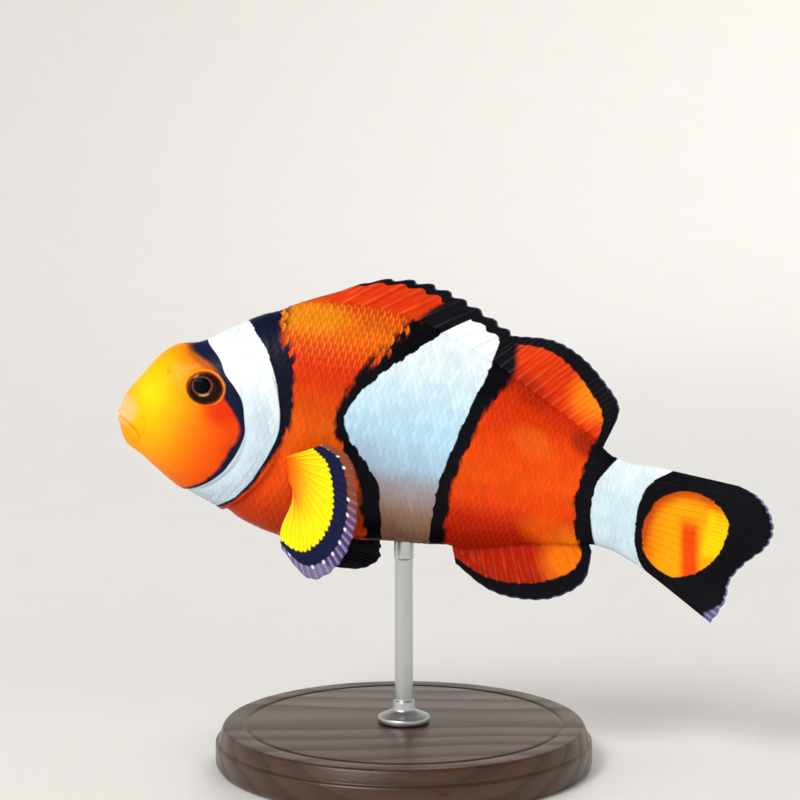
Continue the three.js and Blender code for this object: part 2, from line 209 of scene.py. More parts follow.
IRIS_RINGS = [
    (0.0, "01010c"), (0.392, "01010e"), (0.415, "a05a3c"), (0.445, "6e3422"), (0.49, "3a120c"),
    (0.56, "180808"), (0.66, "1e0a08"), (0.72, "3e1608"), (0.78, "8e3e08"), (0.85, "dc760e"),
]
PITH_DEPTH, RINGS_A_METRE = 0.020, 420.0  # the wood's pith below the floor, and its year rings

# ---- small forms -----------------------------------------------------------------------------
SCALES_START, SCALES_END = 10.0, 64.9  # lengths of the first and last rows of scales
SCALE_RINGS = (0, 0.35, 0.68, 0.9, 1.0, 1.0)  # shares of a scale's length; the last is the rim's foot
SCALE_HEIGHTS = (1, 1, 1, 1, 0.86, -0.3)  # how full its rise is at each of them
SCALE_ACROSS = 7  # points across a scale
GROWTH_WAVES = 46.0  # radians of growth rings along a scale
RAY_JOINTS = 38  # joints along a soft ray
FIN_MAP_EDGE = 0.03  # the part of a fin's baked map left round the sheet
EYEBALL_SHARES = [  # the eyeball's profile: radius and distance out, as shares of its radius
    (0, 0.10), (0.90, 0.15), (0.935, 0.30), (0.92, 0.40), (0.875, 0.475), (0.81, 0.545),
]
IRIS_PROFILE = [(1.8, 1.52), (1.55, 1.60), (1.32, 1.63)]  # in millimetres

# ---- stage: metres ---------------------------------------------------------------------------
AIM = (0, 0, 0.042)  # what the lights point at
VIEW_MIDDLE = (-0.00048, 0, 0.04463)  # what the camera points at
FLOOR_FLAT, FLOOR_BEND, FLOOR_WALL = 0.75, 0.55, 0.9  # radius, radius of the bend, wall's top
SKY_COLOUR = (0.95, 0.97, 1.0, 1)
LIGHTS = [  # name, place, width, and whether it shows in reflections
    ("key", (-0.60, -0.72, 1.00), 0.55, True),
    ("glint", (-0.34, -0.62, 0.52), 0.09, True),
    ("fill", (0.80, -0.95, 0.45), 0.9, False),
    ("back", (0.30, 0.95, 0.80), 0.7, False),
    ("front", (-0.95, -0.35, 0.20), 0.6, False),
]


# ---- sums ------------------------------------------------------------------------------------
def spline(points, share):
    """A smooth line through the points, evenly shared from 0 at the first to 1 at the last."""
    held = np.asarray(points, float)
    last = len(held) - 1
    place = np.clip(share, 0, 1) * last
    low = np.minimum(place.astype(int), last - 1)
    w = (place - low)[..., None]
    before, a, b, after = (held[np.clip(low + k, 0, last)] for k in (-1, 0, 1, 2))
    lean_a, lean_b = (b - before) / 2, (after - a) / 2
    return (
        (2 * a - 2 * b + lean_a + lean_b) * w**3
        + (3 * b - 3 * a - 2 * lean_a - lean_b) * w**2
        + lean_a * w
        + a
    )


def fade(value, start, end):
    """0 at start and 1 at end, eased at both; the two may be in either order."""
    w = np.clip((value - start) / (end - start), 0, 1)
    return w * w * (3 - 2 * w)


def hump(value, width):
    """1 at a value of 0, falling away on both sides."""
    return np.exp(-((value / width) ** 2))


def unit(vectors):
    """The same directions with a length of 1."""
    return vectors / np.maximum(np.linalg.norm(vectors, axis=-1, keepdims=True), 1e-9)


def beside(u, v, line, steps=120):
    """How far a place lies to the left of a line in the plan, and how far along the line, 0 to 1."""
    share = np.linspace(0, 1, steps)
    path = spline(line, share)
    ahead = unit(np.gradient(path, axis=0))
    near = np.argmin((u[..., None] - path[:, 0]) ** 2 + (v[..., None] - path[:, 1]) ** 2, -1)
    du, dv = u - path[near, 0], v - path[near, 1]
    return ahead[near, 0] * dv - ahead[near, 1] * du, share[near]


def sway(x):
    """How far the middle of the bent rear body lies to the side."""
    return -TAIL_SWEEP * np.clip((x - SWEEP_START) / SWEEP_SPAN, 0, None) ** 2


def placed(points):
    """From the fish's own millimetres to the frame's metres."""
    x, y, z = np.moveaxis(np.asarray(points, float), -1, 0)
    c, s = math.cos(NOSE_UP), math.sin(NOSE_UP)
    return np.stack([x * c + z * s + SNOUT[0], y + SNOUT[1], z * c - x * s + SNOUT[2]], -1) * MM


def unplaced(point):
    """From the frame's metres to the fish's own millimetres."""
    x, y, z = np.asarray(point) / MM - SNOUT
    c, s = math.cos(NOSE_UP), math.sin(NOSE_UP)
    return np.array([x * c - z * s, y, x * s + z * c])


def body_points(t, angle):
    """The plain body: t from snout to stalk, angle from the back round the left flank."""
    x, back, belly, side = np.moveaxis(spline(STATIONS, t), -1, 0)
    c, s = np.cos(angle), np.sin(angle)
    across = np.clip(side, 0, None) * np.abs(s) ** (1 + EGG * c)
    up = (back + belly) / 2 + (back - belly) / 2 * c
    return np.stack([x + 0 * c, sway(x) - np.sign(s) * across, up], -1)


def line_of_body(column, x, steps=800):
    """The back line or the belly line at a length."""
    rows = spline(STATIONS, np.linspace(0, 1, steps))
    return np.interp(x, rows[:, 0], rows[:, column])


# ---- meshes ----------------------------------------------------------------------------------
def inset(places, edge=0.02):
    """Shares from 0 to 1 drawn in from the edges of a map."""
    return edge + (1 - 2 * edge) * places


def grid_corners(rows, columns, around=False):
    """The faces of a grid of points, and each corner's row and column, for its maps."""
    r, c = np.meshgrid(np.arange(rows - 1), np.arange(columns if around else columns - 1), indexing="ij")
    places = np.stack([np.stack([r, r, r + 1, r + 1], -1), np.stack([c, c + 1, c + 1, c], -1)], -1)
    places = places.reshape(-1, 4, 2)
    return places[..., 0] * columns + places[..., 1] % columns, places


def enclosed(points, faces):
    """The volume inside the faces, negative where they face inwards."""
    points = points - np.mean(points, 0)
    total = 0.0
    for group in faces:
        for k in range(1, group.shape[1] - 1):
            a, b, c = (points[group[:, i]] for i in (0, k, k + 1))
            total += np.sum(a * np.cross(b, c))
    return total / 6


def new_piece(name, points, faces, maps, finish, replaces=()):
    """Writes points in metres and lists of equal-sided faces as one piece that rides on the root.

    A map holds a place for each point, or for each corner if it has that many.
    """
    mesh = bpy.data.meshes.new(name)
    corners = np.concatenate([f.ravel() for f in faces])
    sides = np.concatenate([np.full(len(f), f.shape[1]) for f in faces])
    mesh.vertices.add(len(points))
    mesh.vertices.foreach_set("co", np.asarray(points, np.float32).ravel())
    mesh.loops.add(len(corners))
    mesh.loops.foreach_set("vertex_index", corners.astype(np.int32))
    mesh.polygons.add(len(sides))
    mesh.polygons.foreach_set("loop_start", (np.cumsum(sides) - sides).astype(np.int32))
    mesh.polygons.foreach_set("use_smooth", np.ones(len(sides), bool))
    for title, places in maps.items():
        spots = places if len(places) == len(corners) else places[corners]
        layer = mesh.uv_layers.new(name=title)
        layer.uv.foreach_set("vector", np.asarray(spots, np.float32).ravel())
    mesh.update(calc_edges=True)
    if enclosed(points, faces) < 0:
        mesh.flip_normals()
    mesh.materials.append(finish)
    piece = bpy.data.objects.new(name, mesh)
    bpy.context.scene.collection.objects.link(piece)
    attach(piece, "root")
    if replaces:
        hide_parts(*replaces)
    return piece


def turned(profile, around, axis="z"):
    """A turned form: points, faces and each corner's turn and share of the profile."""
    profile = np.asarray(profile, float)
    angle = np.arange(around) * 2 * np.pi / around
    radius, height = profile[:, :1], np.repeat(profile[:, 1:], around, 1)
    ring = np.stack([radius * np.cos(angle), radius * np.sin(angle), height], -1)
    if axis == "y":
        ring = ring[..., [0, 2, 1]]
    faces, places = grid_corners(len(profile), around, around=True)
    turn = np.stack([places[..., 1] / around, places[..., 0] / (len(profile) - 1)], -1)
    return ring.reshape(-1, 3), faces, turn.reshape(-1, 2)


def close_poles(mesh):
    """Merges the rings that have shrunk to a point on the axis."""
    work = bmesh.new()
    work.from_mesh(mesh)
    bmesh.ops.remove_doubles(work, verts=work.verts, dist=1e-7)
    bmesh.ops.dissolve_degenerate(work, edges=work.edges, dist=1e-8)
    loose = [edge for edge in work.edges if not edge.link_faces]
    bmesh.ops.delete(work, geom=loose, context="EDGES")
    work.to_mesh(mesh)
    work.free()


# ---- the skin's own shape --------------------------------------------------------------------
def eye_place(hand="left"):
    """The middle of the eye in the fish's own millimetres and its radius, from its solid."""
    low, high = (np.asarray(corner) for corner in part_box(f"eye_{hand}"))
    return unplaced((low + high) / 2) + (EYE_SET[0], 0, EYE_SET[1]), float((high - low)[1]) / 2 / MM


def relief(u, v):
    """How far the skin stands off the plain body: lips, nostrils, eye rims, bones and gill covers.

    Each hump(gap - place, width) is a ridge beside a line, or a groove where it is taken away.
    """
    (eye_u, _, eye_v), eye_radius = eye_place()
    gap, _ = beside(u, v, MOUTH)
    lips = fade(u, 3.7, 2.7)
    rise = lips * (
        0.15 * hump(gap - 0.46, 0.30)
        + 0.11 * hump(gap + 0.44, 0.28)
        - 0.34 * hump(gap, 0.10)
        - 0.07 * hump(gap - 0.98, 0.16)
        - 0.07 * hump(gap + 0.92, 0.16)
    )
    gap, along = beside(u, v, LIP_FOLD)
    rise -= 0.11 * hump(gap, 0.17) * fade(along, 0.04, 0.3) * fade(along, 0.98, 0.7)
    pad = fade(gap, 0.0, 0.25) * fade(gap, 1.6, 0.3)
    rise += 0.07 * pad * fade(along, 0.1, 0.4) * fade(along, 0.98, 0.6)

    from_eye = np.hypot((u - eye_u) / EYE_OVAL[0], (v - eye_v) / EYE_OVAL[1])
    rise -= 0.9 * fade(from_eye, eye_radius - 0.35, eye_radius - 0.9)
    from_rim = from_eye - eye_radius + 0.28 - 0.1 * (v - eye_v) / eye_radius
    rise += 0.12 * hump(from_rim, 0.2)
    rise -= 0.03 * hump(from_rim - 0.5, 0.25)

    from_nostril = np.hypot(u - NOSTRIL[0], v - NOSTRIL[1])
    rise += 0.13 * hump(from_nostril - 0.34, 0.14) - 0.35 * hump(from_nostril, 0.17)

    gap, along = beside(u, v, EYE_BONE)
    rise -= 0.025 * hump(gap, 0.22) * fade(along, 0.02, 0.25) * fade(along, 0.98, 0.75)

    gap, along = beside(u, v, CHEEK_EDGE)
    shown = fade(along, 0.14, 0.3) * fade(along, 0.97, 0.85)
    teeth = 0.5 + 0.5 * np.cos(along * 2 * np.pi * CHEEK_TEETH)
    rise += shown * (
        0.10 * fade(gap, -1.6, -0.2) * fade(gap, 0.06, -0.06)
        - 0.13 * hump(gap - 0.1, 0.15)
        - 0.05 * teeth * hump(gap + 0.05, 0.12)
    )
    cover = fade(gap, 0.2, 1.4)

    gap, along = beside(u, v, GILL_EDGE)
    opening = fade(v, 8.8, 6.9)
    rise += opening * (
        0.13 * cover * fade(gap, 0.04, -0.06)
        - 0.30 * fade(gap, -0.03, 0.08) * fade(gap, 2.4, 0.1)
        - 0.28 * hump(gap - 0.06, 0.10)
    )
    return rise + 0.30 * hump(u - SIDE_FIN_ROOT[0], 1.0) * hump(v - SIDE_FIN_ROOT[1], 1.8)


def fin_crest(points):
    """A low rounded ridge that carries the flank up on to the feet of the dorsal and anal fins."""
    u, v = points[..., 0], points[..., 2]
    off = points[..., 1] - sway(u)
    middle = (line_of_body(BACK, u) + line_of_body(BELLY, u)) / 2
    back = fade(u, 16.5, 20) * fade(u, 59.5, 56) * (v > middle)
    belly = fade(u, 41.5, 44) * fade(u, 59.5, 56.5) * (v < middle)
    return (CREST * back + 0.8 * CREST * belly) * hump(off, 0.85)


def scaled_share(u, v):
    """1 where the scales are full size, less on the head's own small ones, 0 where there are none."""
    behind_gill, _ = beside(u, v, GILL_EDGE)
    behind_cheek, _ = beside(u, v, CHEEK_EDGE)
    trunk = fade(behind_gill, 0.15, 0.9)
    nape = fade(v + 0.25 * (u - 12), 8.4, 10.2) * fade(u, 9.6, 12.6)
    cover = fade(behind_cheek, 0.3, 1.2) * fade(behind_gill, -0.35, -1.2)
    return np.maximum(trunk, np.maximum(0.75 * nape, 0.45 * cover) * fade(behind_gill, 0.5, -0.2))


class Skin:
    """The skin as a grid: rows from snout to stalk, columns once round from the back over the left."""

    def __init__(self, coat, rows=258, columns=384):
        fine = np.linspace(0, 1, 3000)
        x, back, belly, side = spline(STATIONS, fine).T
        step = np.sqrt(sum(np.gradient(a) ** 2 for a in (x, (back - belly) / 2, side)))
        care = np.interp(x, [-1, 3.6, 5, 19, 23, 70], [6, 6, 3, 3, 1, 1])
        travel = np.cumsum(step * care)
        t = np.interp(np.linspace(travel[0], travel[-1], rows), travel, fine)
        angle = np.arange(columns) * 2 * np.pi / columns
        self.rows, self.columns = rows, columns
        self.x = spline(STATIONS, t)[:, 0]
        base = body_points(t[:, None], angle[None, :])
        out = self.facing(base)
        u, v = base[..., 0], base[..., 2]
        lift = relief(u, v) - coat * scaled_share(u, v) + fin_crest(base)
        ends = fade(np.arange(rows), 0, 3)[:, None]
        self.points = base + out * (lift * ends)[..., None]
        self.normals = self.facing(self.points)
        loop = np.concatenate([self.points, self.points[:, :1]], 1)
        steps_round = np.linalg.norm(np.diff(loop, axis=1), axis=-1)
        arc = np.concatenate([np.zeros((rows, 1)), np.cumsum(steps_round, 1)], 1)
        self.girth = arc[:, -1]
        self.shares = 800
        evenly = np.linspace(0, 1, self.shares + 1)
        turns = np.arange(columns + 1)
        self.column_at = np.stack([np.interp(evenly * g, a, turns) for g, a in zip(self.girth, arc)])

    def facing(self, points):
        """The directions out of the skin at its points."""
        along = np.gradient(points, axis=0)
        round_it = np.roll(points, -1, 1) - np.roll(points, 1, 1)
        out = unit(np.cross(round_it, along))
        outward = points - points.mean(1, keepdims=True)
        out *= np.sign(np.sum(out * outward, -1).mean())
        out[0], out[-1] = (-1, 0, 0), (1, 0, 0)
        return out

    def sample(self, held, row, column, around=True):
        """Reads a grid between its points."""
        row = np.clip(row, 0, len(held) - 1.001)
        r, c = row.astype(int), np.floor(column).astype(int)
        wr, wc = row - r, column - c
        if held.ndim > 2:
            wr, wc = wr[..., None], wc[..., None]
        wide = held.shape[1]
        c0, c1 = (side % wide if around else np.clip(side, 0, wide - 1) for side in (c, c + 1))
        here, next_row = (held[q, c0] * (1 - wc) + held[q, c1] * wc for q in (r, r + 1))
        return here * (1 - wr) + next_row * wr

    def girth_at(self, u):
        """The whole way round the skin at a length."""
        return np.interp(u, self.x, self.girth)

    def at(self, u, arc):
        """Points and normals at a length and a distance round from the back over the left flank."""
        row = np.interp(u, self.x, np.arange(self.rows))
        share = arc / np.maximum(self.girth_at(u), 0.1)
        whole = np.floor(share)
        column = self.sample(self.column_at, row, (share - whole) * self.shares, around=False)
        column = column + whole * self.columns
        return self.sample(self.points, row, column), unit(self.sample(self.normals, row, column))


def skin_piece(context):
    """The one skin over head, gill covers, trunk and stalk: a grid closed at both ends by fans."""
    sizes, colours = context.scene.clownfish, context.scene.clownfish_colours
    skin = Skin(sizes.scale_lift / MM)
    rows, columns = skin.rows, skin.columns
    ring = skin.points[1:-1]
    points = np.concatenate([skin.points[:1, 0], ring.reshape(-1, 3), skin.points[-1:, 0]])
    quads, places = grid_corners(rows - 2, columns, around=True)
    step = np.arange(columns)
    after = (step + 1) % columns
    last = len(points) - 1
    front = np.stack([np.zeros(columns, int), after + 1, step + 1], -1)
    tail_start = last - columns
    rear = np.stack([np.full(columns, last), tail_start + step, tail_start + after], -1)
    flat = [np.stack([places[..., 0] + 1, places[..., 1]], -1).reshape(-1, 2)]
    flat += [np.stack([[0, s + 0.5], [1, s + 1], [1, s]]) for s in step]
    flat += [np.stack([[rows - 1, s + 0.5], [rows - 2, s], [rows - 2, s + 1]]) for s in step]
    bake = inset(np.concatenate(flat) / (rows - 1, columns), 0.01)
    maps = {"plan": points[:, [0, 2]], "OFBake": bake}
    finish = skin_finish(colours, scales=False)
    new_piece("fish_skin", placed(points), [quads + 1, front, rear], maps, finish, FLESH_NODES)


# ---- scales ----------------------------------------------------------------------------------
def scale_roots(skin, sizes, random):
    """Roots of the scales of one flank: staggered rows along the body, closer towards the tail."""
    length, height = sizes.scale_length / MM, sizes.scale_height / MM
    u, step = SCALES_START, 0
    roots = []
    while u < SCALES_END:
        k = np.interp(u, [10, 20, 40, 66], [0.78, 1.0, 0.95, 0.66])
        half = skin.girth_at(u) / 2
        rows = np.arange(-40, 41)
        rows = rows[(rows + step) % 2 == 0]
        arc = half * 0.5 + rows * height * k
        arc = arc[(arc > -0.1) & (arc < half + 0.1)]
        roots.append(np.stack([np.full(len(arc), u), arc, np.full(len(arc), k)], -1))
        u += length * k / 2
        step += 1
    roots = np.concatenate(roots)
    roots[:, :2] += random.uniform(-0.035, 0.035, (len(roots), 2))
    return roots


def scale_faces(count, rings, across):
    """The faces of all the scales, and which points of a scale its rim takes copies of.

    The rim starts from its own copies of the edge, so that the edge stays crisp.
    """
    block, _ = grid_corners(rings, across)
    edge = np.arange((rings - 2) * across, (rings - 1) * across)
    rim = block[1 - across :]
    rim[rim <= edge[-1]] += rings * across - edge[0]
    return (np.arange(count)[:, None, None] * (rings + 1) * across + block).reshape(-1, 4), edge


def scale_coat(context, side):
    """The overlapping scales of one flank, as one joined mesh that lies on the skin."""
    sizes, colours = context.scene.clownfish, context.scene.clownfish_colours
    lift, pitch, height = (v / MM for v in (sizes.scale_lift, sizes.scale_length, sizes.scale_height))
    skin = Skin(lift)
    random = np.random.default_rng(7 if side < 0 else 8)
    roots = scale_roots(skin, sizes, random)
    seat, _ = skin.at(roots[:, 0], roots[:, 1])
    share = scaled_share(seat[:, 0], seat[:, 2])
    # The skin stays bare where the side fin springs from it.
    from_fin = ((seat[:, 0] - 21.7) / 0.9) ** 2 + ((seat[:, 2] + 2.5) / 1.7) ** 2
    keep = (share > 0.3) & (from_fin > 1)
    roots, seat, share = roots[keep], seat[keep], share[keep, None, None]
    root_u, root_arc, k = (column[:, None, None] for column in roots.T)
    one_each = (len(roots), 1, 1)

    # One scale: e runs from its hidden root to its rear edge and on to the rim's foot, w across it.
    e, w = np.meshgrid(SCALE_RINGS, np.linspace(-1, 1, SCALE_ACROSS), indexing="ij")
    reach = pitch * (-1.0 + e * 1.55 - 0.42 * w**2 * (0.4 + 0.6 * e))
    width = height * 0.98 * w * (0.82 + 0.18 * e)
    rise = (-0.03 + (lift + 0.03) * e * np.array(SCALE_HEIGHTS)[:, None]) * (1 - 0.5 * w**2)

    k = k * (0.75 + 0.25 * share)
    size = k * random.uniform(0.96, 1.04, one_each)
    u, arc = root_u + reach * size, root_arc + width * size
    pore_row = root_arc - LATERAL_LINE_DEPTH * k - 0.05 * skin.girth_at(root_u)
    pore = 0.055 * hump(pore_row, 0.5 * height) * hump(w, 0.22) * fade(e, 0.2, 0.7)
    pore[:, -1] = 0
    tilt = random.normal(0, 0.011, one_each) * w + random.normal(0, 0.007, one_each)
    stand = rise * (0.55 + 0.45 * share) + tilt * e + pore
    spots, out = skin.at(u, arc)
    # A scale that starts under the gill cover's edge goes down into the flesh there.
    ahead, _ = beside(spots[..., 0], spots[..., 2], GILL_EDGE)
    root_ahead, _ = beside(seat[:, 0], seat[:, 2], GILL_EDGE)
    under = fade(ahead, 0.4, 0.05) * fade(spots[..., 2], 9.2, 8.4) * (root_ahead > 0)[:, None, None]
    points = spots + out * (stand - 0.55 * under)[..., None]

    luck = random.uniform(0, 1, one_each)
    maps = {
        "plan": 0.7 * points[..., [0, 2]] + 0.3 * seat[:, None, None, [0, 2]],
        "cell": np.stack(np.broadcast_arrays(e, np.abs(w), u)[:2], -1),
        "luck": np.stack(np.broadcast_arrays(luck, share, u)[:2], -1),
        # Each scale is a small patch at its root's place on the flank laid flat.
        "OFBake": (roots[:, None, None, :2] + 2) / (70, 40) + np.stack([e - 0.5, w / 2], -1) * 0.003,
    }
    if side > 0:
        points[..., 1] = 2 * sway(points[..., 0]) - points[..., 1]
    faces, edge = scale_faces(len(roots), *e.shape)

    def with_rim(values):
        flat = values.reshape(len(roots), e.size, -1)
        flat = np.concatenate([flat, flat[:, edge]], 1)
        return flat.reshape(-1, flat.shape[-1])

    maps = {title: with_rim(values) for title, values in maps.items()}
    name = "scales_left" if side < 0 else "scales_right"
    new_piece(name, placed(with_rim(points)), [faces], maps, skin_finish(colours, scales=True))


# ---- fins ------------------------------------------------------------------------------------
def from_ray(t, rays):
    """How far a place across a fin lies from the nearest ray, in spaces between rays."""
    return np.abs((t * rays + 0.5) % 1 - 0.5)


def ray_ridges(t, r, rays, spiny):
    """How high the rays stand, 0 to 1: spines stay whole, soft rays split into two and then four."""
    if spiny:
        return hump(from_ray(t, rays), 0.11)
    whole = hump(from_ray(t, rays), 0.15) * fade(r, 0.72, 0.4)
    halves = hump(from_ray(t, 2 * rays), 0.26) * fade(r, 0.4, 0.72)
    quarters = 0.7 * hump(from_ray(t, 4 * rays), 0.3) * fade(r, 0.7, 0.95)
    return np.maximum(whole + halves, quarters)


def fin_thickness(t, r, rays, root, edge, ray, spiny):
    """Thick at the root and thin at the margin, with its rays, and round at the rim and both ends."""
    joints = 0 if spiny else 0.04 * (0.5 + 0.5 * np.cos(2 * np.pi * RAY_JOINTS * r)) * fade(r, 0.25, 0.5)
    web = edge + (root - edge) * np.clip(1 - r / 0.42, 0, 1) ** 1.5
    thick = web + ray * ray_ridges(t, r, rays, spiny) * (1 - 0.78 * r) * (1 - joints)
    rim = np.sqrt(np.clip(1 - np.clip((r - 0.97) / 0.03, 0, 1) ** 2, 0.02, 1))
    ends = np.sqrt(np.clip(np.minimum(t, 1 - t) / (0.35 / rays), 0.12, 1))
    return thick * rim * ends


def fin_ends(count, steps):
    """The faces that close a fin's two ends, and a strip of its map for each."""
    inner, wide = np.arange(steps - 1), 2 * steps
    along = inset(np.stack([inner, inner + 1, inner + 1, inner], -1) / wide, FIN_MAP_EDGE)
    faces, strips = [], []
    for row, low in ((0, 0.005), (count - 1, 0.985)):
        cap = np.stack([inner, inner + 1, wide - 2 - inner, wide - 1 - inner], -1) + row * wide
        up = np.broadcast_to([low, low, low + 0.01, low + 0.01], along.shape)
        strip = np.stack([along, up], -1)
        if row == 0:
            cap, strip = cap[:, ::-1], strip[:, ::-1]
        faces.append(cap)
        strips.append(strip.reshape(-1, 2))
    return faces, strips


def fin_piece(name, middle, rays, finish, node, root=0.8, edge=0.10, ray=0.34, spiny=False,
              scallop=0.012, black=None, zones=None, steps=56, per_ray=10, mirror=1):
    """A thin rayed fin: a bent sheet with a raised ray every so often, closed all round.

    middle(t, r) is the middle surface in the fish's millimetres, t across the rays, r along them.
    black(t) is how wide the margin's own colour is; zones(t, r) counts the colours instead.
    """
    count, wide = rays * per_ray + 1, 2 * steps
    t, r = np.meshgrid(np.linspace(0, 1, count), np.linspace(0, 1, steps) ** 0.85, indexing="ij")
    dip = 1 - scallop * fade(from_ray(t, rays), 0.06, 0.5)
    reach = r * (dip if spiny else 1 + (dip - 1) * r)
    centre = middle(t, reach)
    tiny = 1e-3
    t0, r0 = np.minimum(t, 1 - tiny), np.minimum(reach, 1 - tiny)
    corner = middle(t0, r0)
    facing = unit(np.cross(middle(t0 + tiny, r0) - corner, middle(t0, r0 + tiny) - corner))
    half = facing * (fin_thickness(t, r, rays, root, edge, ray, spiny) / 2)[..., None]
    ring = np.concatenate([centre + half, (centre - half)[:, ::-1]], 1)

    def on_both(values):
        """The same values on one side and, in reverse, on the other."""
        return np.concatenate([values, values[:, ::-1]], 1).reshape(-1, values.shape[-1])

    length = np.linalg.norm(np.diff(centre, axis=1), axis=-1)
    to_margin = np.concatenate([np.cumsum(length[:, ::-1], 1)[:, ::-1], 0 * length[:, :1]], 1)
    zone = zones(t, r) if zones else to_margin / (black(t) if black else 1.0)
    faces, places = grid_corners(count, wide, around=True)
    sheet = np.stack([places[..., 1] / wide, places[..., 0] / (count - 1)], -1).reshape(-1, 2)
    ends, strips = fin_ends(count, steps)
    maps = {
        "plan": on_both(centre[..., [0, 2]]),
        "ray": on_both(np.stack([t * rays, r], -1)),
        "margin": on_both(np.stack([to_margin, zone], -1)),
        "OFBake": np.concatenate([inset(sheet, FIN_MAP_EDGE), *strips]),
    }
    points = placed(ring.reshape(-1, 3) * (1, mirror, 1))
    new_piece(name, points, [np.concatenate([faces, *ends])], maps, finish, (node,))


def median_middle(column, start, end, margin, ripple, waves, lean=1.0):
    """The middle surface of a fin on the back line or the belly line.

    Rays lean back the more, the further lean is below 1.
    """
    seat = -FIN_SEAT if column == BACK else FIN_SEAT

    def middle(t, r):
        foot = start + (end - start) * t
        rim = spline(margin, t**lean)
        x = foot + (rim[..., 0] - foot) * r
        base = line_of_body(column, foot) + seat
        z = base + (rim[..., 1] - base) * r
        y = sway(x) + ripple * r**1.5 * np.sin(2 * np.pi * (waves * t + 0.15))
        return np.stack([x, y, z], -1)

    return middle


def tail_middle(t, r):
    """The tail fin's middle surface: a fan from the stalk's end with a slow wave across it."""
    top, bottom = np.array(TAIL_ROOT)
    rim, foot = spline(TAIL_MARGIN, t), top + (bottom - top) * t[..., None]
    x, z = np.moveaxis(foot + (rim - foot) * r[..., None], -1, 0)
    y = sway(x) + 1.1 * r**2 * np.sin(2 * np.pi * (1.2 * t - 0.45))
    return np.stack([x, y, z], -1)


def fan_middle(root, margin, bow, ripple, cup=0.0):
    """A paired fin's middle surface: rays between two lines, bowed from the body, the last ones cupped."""

    def middle(t, r):
        foot, rim = spline(root, t), spline(margin, t)
        push = bow * np.sin(np.pi * r) + ripple * r**2 * np.sin(2 * np.pi * (2.5 * t + 0.1))
        bend = cup * np.sin(2 * np.pi * r) * fade(t, 0.45, 1.0)
        return foot + (rim - foot) * r[..., None] + np.stack([bend, -push, 0 * r], -1)

    return middle


def pectoral_zones(t, r):
    """0 at the root, 1 at the yellow's edge, 2 at the navy's outer edge and 3 at the clear margin."""
    yellow = np.interp(t, PECTORAL_PLACES, PECTORAL_YELLOW)
    navy = np.interp(t, PECTORAL_PLACES, PECTORAL_NAVY)
    in_navy, in_margin = 1 + (r - yellow) / (navy - yellow), 2 + (r - navy) / (1 - navy)
    return np.where(r < yellow, r / yellow, np.where(r < navy, in_navy, in_margin))


# ---- node helpers ----------------------------------------------------------------------------
def paint(colour):
    """A colour as the shaders mix it, from its usual six-figure code or from such numbers."""
    if not isinstance(colour, str):
        return tuple(colour)
    parts = [int(colour[i : i + 2], 16) / 255 for i in (0, 2, 4)]
    return tuple(p / 12.92 if p <= 0.04045 else ((p + 0.055) / 1.055) ** 2.4 for p in parts)


def sum_node(operation, swapped=False):
    """A sum on wires that lays the Math node for it."""

    def lay(self, other):
        pair = (other, self) if swapped else (self, other)
        return self.net.math(operation, *pair)

    return lay


class Wire:
    """One output of a node. Plain sums on it lay Math nodes."""

    __add__, __radd__ = sum_node("ADD"), sum_node("ADD", swapped=True)
    __sub__, __rsub__ = sum_node("SUBTRACT"), sum_node("SUBTRACT", swapped=True)
    __mul__, __rmul__ = sum_node("MULTIPLY"), sum_node("MULTIPLY", swapped=True)
    __truediv__, __pow__ = sum_node("DIVIDE"), sum_node("POWER")

    def __init__(self, net, socket):
        self.net, self.socket = net, socket

    def __neg__(self):
        return self * -1.0

    def __abs__(self):
        return self.net.math("ABSOLUTE", self)


